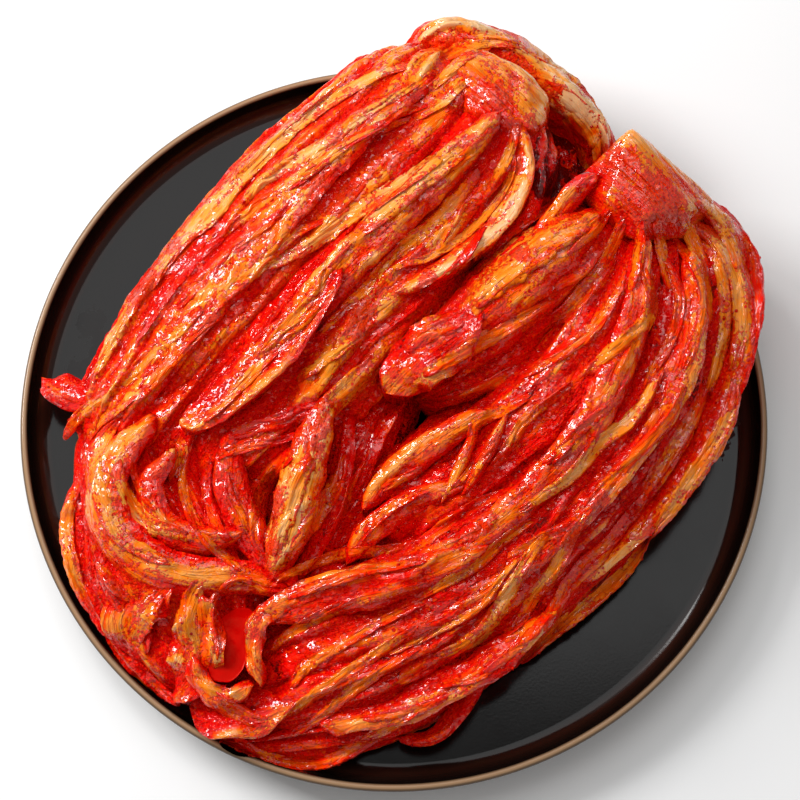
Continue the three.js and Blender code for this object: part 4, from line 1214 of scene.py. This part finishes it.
def leaf_material():
    """Salted cabbage under a broken film of wet paste."""
    material, tree, shader = node_material("kimchi_leaf")
    p = leaf_patterns(tree)
    tree.links.new(leaf_colour(tree, p), shader.inputs["Base Color"])
    tree.links.new(bump_node(tree, leaf_relief_node(tree, p), 1.0, 1.2), shader.inputs["Normal"])
    wet = share_sum(tree, 0.0, [(p["swells"], 0.9), (p["pleats"], 0.10)])
    tree.links.new(bump_node(tree, wet, 0.9, 1.0), shader.inputs["Coat Normal"])
    film = swing_sum(tree, 0.5, [(p["crinkles"], 1.4), (p["depth"], 0.5), (p["clumps"], 0.9),
                                 (p["blots"], 0.9)])
    film = share_sum(tree, 0.05, [(stepped(tree, film, 0.48, 9.0), 0.95)])
    tree.links.new(film, shader.inputs["Coat Weight"])
    set_sockets(shader, {
        "Roughness": 0.32, "Specular IOR Level": 0.25, "Specular Tint": WET_TINT,
        "Coat IOR": 1.62, "Coat Roughness": 0.04,
        "Subsurface Weight": 0.25, "Subsurface Radius": (1.0, 0.5, 0.25), "Subsurface Scale": 0.002,
    })
    return material


def sauce_material():
    """Thin dark red sauce."""
    material, tree, shader = node_material("chilli_sauce")
    place = object_place(tree)
    colour = ramp_node(tree, noise_node(tree, place, 160, 3, 0.6), SAUCE_STOPS)
    tree.links.new(colour, shader.inputs["Base Color"])
    tree.links.new(bump_node(tree, noise_node(tree, place, 420, 2, 0.5), 0.25, 0.5), shader.inputs["Normal"])
    set_sockets(shader, {"Roughness": 0.22, "Specular IOR Level": 0.35, "Specular Tint": WET_TINT})
    return material


def flake_material():
    """Soaked chilli skin that lets light through."""
    material, tree, shader = node_material("chilli_flake")
    colour = ramp_node(tree, noise_node(tree, object_place(tree), 500, 2, 0.6), FLAKE_STOPS)
    tree.links.new(colour, shader.inputs["Base Color"])
    set_sockets(shader, {
        "Roughness": 0.3, "Specular IOR Level": 0.4, "Specular Tint": WET_TINT,
        "Subsurface Weight": 0.5, "Subsurface Radius": (1.0, 0.25, 0.06), "Subsurface Scale": 0.002,
    })
    return material


def marked(tree, place, spots):
    """1 inside ragged spots on the plate's well, 0 outside them."""
    frayed = noise_node(tree, place, 260, 3, 0.6)
    total = 0.0
    for x, y, half_x, half_y in spots:
        half = np.array([half_x, half_y, WELL_Z / 2]) * MM
        centre = (np.array([x, y, WELL_Z]) + PLATE_CENTRE) * MM
        away = tree.nodes.new("ShaderNodeVectorMath")
        away.operation = "LENGTH"
        tree.links.new(mapped(tree, place, 1 / half, -centre / half), away.inputs[0])
        edge = swing_sum(tree, away.outputs["Value"], [(frayed, 2.2)])
        total = math_node(tree, "MAXIMUM", stepped(tree, edge, 1.0, -14.0), total)
    return total


def glaze_material():
    """Black glaze, with a worn bronze line on the lip's crown, dried water marks and spilt juice."""
    material, tree, shader = node_material("black_glaze")
    place = object_place(tree)
    cloud = noise_node(tree, place, 30, 4, 0.6)
    radius = split_node(tree, attribute_node(tree, "flow"))[0]
    share = swing_sum(tree, math_node(tree, "DIVIDE", radius, PLATE_RADIUS), [(cloud, 0.003)])
    juice, water = marked(tree, place, JUICE_SPOTS), marked(tree, place, WATER_SPOTS)
    colour = mix_colours(tree, juice, ramp_node(tree, share, GLAZE_STOPS), JUICE)
    tree.links.new(colour, shader.inputs["Base Color"])
    rough = share_sum(tree, ramp_node(tree, cloud, SHINE_STOPS), [(water, 0.34), (juice, 0.5)])
    tree.links.new(rough, shader.inputs["Roughness"])
    tree.links.new(bump_node(tree, noise_node(tree, place, 900, 2, 0.5), 0.05, 0.2), shader.inputs["Normal"])
    shader.inputs["Specular IOR Level"].default_value = 0.27
    return material


# ---- Plate ----
def plate_profile():
    """Half-section from the underside's centre round to the well's centre, with rounded corners."""
    lip = LIP_WIDTH / 2
    crown = [[PLATE_RADIUS - lip + lip * math.cos(a), RIM_TOP - lip + lip * math.sin(a)]
             for a in np.linspace(0, math.pi, 17)]
    points = np.array([
        [0.01, 2.2], [FOOT_RADIUS - FOOT_WIDTH - 2, 2.2], [FOOT_RADIUS - FOOT_WIDTH, 0.0], [FOOT_RADIUS, 0.0],
        [FOOT_RADIUS + 2.5, 2.6], [WELL_RADIUS - 4, 5], [WELL_RADIUS + 5, 8.5], [PLATE_RADIUS - 1.4, 13.5],
        *crown, *WALL[::-1], [0.01, WELL_Z],
    ])
    rounded = [points[0]]
    for before, corner, after in zip(points[:-2], points[1:-1], points[2:]):
        a, b = before - corner, after - corner
        cut = min(1.6, 0.4 * np.linalg.norm(a), 0.4 * np.linalg.norm(b))
        a, b = corner + cut * a / np.linalg.norm(a), corner + cut * b / np.linalg.norm(b)
        for f in np.linspace(0, 1, 5):
            rounded.append((1 - f) ** 2 * a + 2 * f * (1 - f) * corner + f**2 * b)
    rounded.append(points[-1])
    return np.array(rounded)


def build_plate(material):
    profile = plate_profile()
    radius, height = profile[:, :1], profile[:, 1:]
    around = circle(PLATE_SEGMENTS)
    rows = np.stack(np.broadcast_arrays(radius * np.cos(around), radius * np.sin(around), height), axis=2)
    flow = np.zeros(rows.shape)
    flow[..., 0] = radius
    shape = Shape()
    shape.add_loops(rows, flow, np.zeros(rows.shape))
    points, flow, _, quads, tris = shape.joined()
    piece = make_object("plate_glazed", points, quads, tris, material, flow)
    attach(piece, "root")
    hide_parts("plate")


def keep_off_plate(points):
    """Lifts food clear of the plate's well, wall and lip."""
    radii, heights = zip(*WALL, (PLATE_RADIUS - LIP_WIDTH, RIM_TOP))
    floor = np.interp(np.hypot(points[:, 0], points[:, 1]), radii, heights) + FOOD_GAP
    lifted = points.copy()
    lifted[:, 2] = np.maximum(points[:, 2], floor)
    return lifted


# ---- Quarters ----
def base_shape(quarter):
    """A quarter's lobes and core, and the grids of its lobes."""
    shape = Shape()
    grids = [lobe_shape(shape, lobe) for lobe in quarter["lobes"]]
    core_shape(shape, quarter["core"], quarter["seed"])
    return shape, grids


def add_leaves(quarter, shape, grids, tree):
    """The leaves listed, and those drawn for each lobe."""
    seed = quarter["seed"]
    for i, leaf in enumerate(quarter["leaves"]):
        leaf_shape(shape, leaf, tree, seed + 10 * i)
    draw = mulberry(seed)
    for number, grid in enumerate(grids):
        for i in range(LEAVES_PER_LOBE):
            lobe_leaf(shape, grid, draw, seed + 400 + 40 * number + i)


def map_cells(points):
    """The cell of the height map that each point is over."""
    return ((points[:, :2] + MAP_REACH) / MAP_STEP).astype(int).clip(0, MAP_SIZE - 1).T


def height_map(shapes):
    """The top of everything, seen from above and blurred, on a square grid."""
    points = np.vstack([keep_off_plate(shape.joined()[0]) for shape in shapes])
    i, j = map_cells(points)
    top = np.zeros((MAP_SIZE, MAP_SIZE))
    np.maximum.at(top, (i, j), points[:, 2])
    for axis in (0, 1):
        top = np.maximum(top, np.maximum(np.roll(top, 1, axis), np.roll(top, -1, axis)))
    filled = (top > 0).astype(float)
    sigma = MAP_BLUR / MAP_STEP
    total = blurred(blurred(top, sigma, 0), sigma, 1)
    weight = blurred(blurred(filled, sigma, 0), sigma, 1)
    return total / np.maximum(weight, 1e-3)


def relief_of(points, normals, level):
    """From 0, deep in a valley, to 1, on a crest, for faces that look up."""
    i, j = map_cells(points)
    relief = np.clip((points[:, 2] - level[i, j]) / MAP_DEPTH, -1, 1)
    return 0.5 + 0.5 * relief * smoothstep(0.1, 0.6, normals[:, 2])


def patched(points, patches):
    """How much of a patch each point lies in."""
    px = pixel_of(points)
    most = np.zeros(len(points))
    for x, y, radius in patches:
        ragged = radius * (1 + 0.35 * noise(px[:, 0] / 9, px[:, 1] / 9, 77))
        gap = np.hypot(px[:, 0] - x, px[:, 1] - y)
        most = np.maximum(most, 1 - smoothstep(0.55, 1.15, gap / ragged))
    return most


def build_quarter(quarter, shape, level, material):
    """Makes a quarter's piece, its paste thick in patches, with painted shade in its valleys and in the deep
    gap between the roots, and the right quarter painted darker as painted shade.
    """
    points, flow, look, quads, tris = shape.joined()
    points = keep_off_plate(points)
    piece = make_object(quarter["name"], points, quads, tris, material, flow)
    # depth from valley to crest; the leaf colour paints shade and light by it, and paste gathers in valleys
    # by it too
    look[:, 2] = relief_of(points, read_vectors(piece.data.vertices, "normal"), level)
    # painted shade: in the deep gap the tone drops and the paste is taken away, so it turns near-black red
    gap_shade = patched(points, GAP_SHADE_SPOTS)
    # painted shade: the quarter's tone is lowered all over, so the right quarter is redder and darker
    look[:, 0] -= 0.6 * gap_shade + quarter["painted_shade"]
    look[:, 1] += 0.70 * patched(points, PASTE_PATCHES) - 1.2 * gap_shade
    set_vectors(piece.data, "look", look)
    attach(piece, "root")
    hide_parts(quarter["node"])
    return piece


def build_quarters(material):
    """Both quarters: their bundles, then leaves bedded in the bundles, then strips over it all."""
    shapes, grids = zip(*[base_shape(quarter) for quarter in QUARTERS])
    bundles = surface_tree(shapes)
    for quarter, shape, lobes in zip(QUARTERS, shapes, grids):
        add_leaves(quarter, shape, lobes, bundles)
    carrier = surface_tree(shapes)
    for quarter, shape in zip(QUARTERS, shapes):
        for i, strip in enumerate(quarter["strips"]):
            strip_shape(shape, carrier, strip, quarter["strip_seed"] + 13 * i)
    level = height_map(shapes)
    return [build_quarter(quarter, shape, level, material) for quarter, shape in zip(QUARTERS, shapes)]


# ---- Sauce ----
def build_pool(material):
    """The sauce: its edge is uneven, and its surface creeps up where it meets the leaves."""
    share = np.linspace(0.02, 1, POOL_RINGS)[:, None]
    around = circle(POOL_SEGMENTS)
    turn = math.radians(POOL["turn"])
    edge = 1 + 0.16 * noise(1.6 * np.cos(around) + 3, 1.6 * np.sin(around), 9)
    x = POOL["half_length"] * share * np.cos(around) * edge
    y = POOL["half_width"] * share * np.sin(around) * edge
    surface = -0.5 + 0.5 * share**8 + 0.12 * noise(x / 4, y / 4, 5)
    bowl = -POOL["depth"] * np.sqrt(np.maximum(0, 1 - share**2)) * np.ones_like(x)
    sheets = [np.stack([
        POOL["x"] + x * math.cos(turn) - y * math.sin(turn),
        POOL["y"] + x * math.sin(turn) + y * math.cos(turn),
        POOL["level"] + height,
    ], axis=2) for height in (bowl, surface)]
    rows = np.concatenate([sheets[0], sheets[1][::-1]])
    shape = Shape()
    shape.add_loops(rows, np.zeros(rows.shape), np.zeros(rows.shape))
    points, _, _, quads, tris = shape.joined()
    piece = make_object("sauce_surface", points, quads, tris, material)
    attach(piece, "root")
    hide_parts("sauce_pool")


# ---- Chilli flakes ----
def flake_places(pieces):
    """Points of the pieces, their normals, and how likely a flake is at each: most in pasted valleys."""
    points, normals, weights = [], [], []
    for piece in pieces:
        place = read_vectors(piece.data.vertices, "co") / MM - PLATE_CENTRE
        normal = read_vectors(piece.data.vertices, "normal")
        look = read_vectors(piece.data.attributes["look"].data, "vector")
        cluster = 0.5 + 0.5 * noise(place[:, 0] / 5, place[:, 1] / 5, 91)
        paste = smoothstep(0.45, 0.95, look[:, 1] + 0.35 * (0.5 - look[:, 2]))
        points.append(place)
        normals.append(normal)
        weights.append(paste * smoothstep(0.35, 0.8, cluster) * (normal[:, 2] > -0.1))
    return np.vstack(points), np.vstack(normals), np.concatenate(weights)


def flake_corners(point, up, around, random):
    """A curled flake's rim, its top and its bottom."""
    side = unit(np.cross(up, random.normal(size=3)))
    front = np.cross(up, side)
    size = FLAKE_SIZE * (0.5 + random.random() ** 2 * 1.2)
    reach = size * (0.7 + 0.5 * random.random(FLAKE_CORNERS))
    curl = 0.25 * size * np.sin(2 * around + 6 * random.random())
    rim = np.cos(around)[:, None] * side + 0.7 * np.sin(around)[:, None] * front
    rim = point + reach[:, None] * rim + curl[:, None] * up
    return np.vstack([rim, point + 0.55 * size * up, point - 0.4 * size * up])


def build_flakes(pieces, material):
    """Coarse chilli flakes lying in the paste, thickest in the valleys."""
    points, normals, weights = flake_places(pieces)
    random = np.random.default_rng(41)
    chosen = random.choice(len(points), FLAKES, replace=False, p=weights / weights.sum())
    around = circle(FLAKE_CORNERS)
    corners = [flake_corners(points[i], normals[i], around, random) for i in chosen]
    a = np.arange(FLAKE_CORNERS)
    b = (a + 1) % FLAKE_CORNERS
    over = np.column_stack([a, b, np.full(FLAKE_CORNERS, FLAKE_CORNERS)])
    under = np.column_stack([b, a, np.full(FLAKE_CORNERS, FLAKE_CORNERS + 1)])
    one = np.stack([over, under], axis=1).reshape(-1, 3)
    tris = one + (FLAKE_CORNERS + 2) * np.arange(FLAKES)[:, None, None]
    piece = make_object("chilli_flakes", keep_off_plate(np.vstack(corners)), np.zeros((0, 4)), tris, material)
    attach(piece, "root")


# ---- Studio ----
def aim(piece, place, target):
    """Puts a light or camera at a place, looking at a target."""
    place, target = Vector(place), Vector(target)
    piece.location = place
    piece.rotation_euler = (target - place).to_track_quat("-Z", "Y").to_euler()


def build_floor():
    h = FLOOR_HALF
    floor = bpy.data.meshes.new("studio_floor")
    floor.from_pydata([(-h, -h, 0), (h, -h, 0), (h, h, 0), (-h, h, 0)], [], [(0, 1, 2, 3)])
    piece = link_object("studio_floor", floor)
    piece.location.z = -FLOOR_DROP
    material, _, shader = node_material("studio_floor")
    set_sockets(shader, {"Base Color": FLOOR_GREY, "Roughness": 0.9})
    floor.materials.append(material)


def build_lights():
    world = bpy.data.worlds.new("studio")
    world.use_nodes = True
    set_sockets(world.node_tree.nodes["Background"], {"Color": (1, 1, 1, 1), "Strength": WORLD_STRENGTH})
    bpy.context.scene.world = world
    for light in LIGHTS:
        lamp = bpy.data.lights.new(light["name"], "AREA")
        lamp.size = light["size"]
        lamp.energy = light["power"]
        aim(link_object(light["name"], lamp), light["place"], LIGHT_TARGET)


def build_camera():
    camera = bpy.data.cameras.new("camera")
    camera.lens = LENS_MM
    camera.sensor_width = SENSOR_MM
    piece = link_object("camera", camera)
    aim(piece, (np.array(CAMERA_AT) + PLATE_CENTRE) * MM, (np.array(CAMERA_TARGET) + PLATE_CENTRE) * MM)
    bpy.context.scene.camera = piece


build_camera()
build_floor()
build_lights()
build_plate(glaze_material())
quarters = build_quarters(leaf_material())
build_pool(sauce_material())
build_flakes(quarters, flake_material())

scene = bpy.context.scene
scene.view_settings.view_transform = "Standard"
scene.view_settings.look = "None"
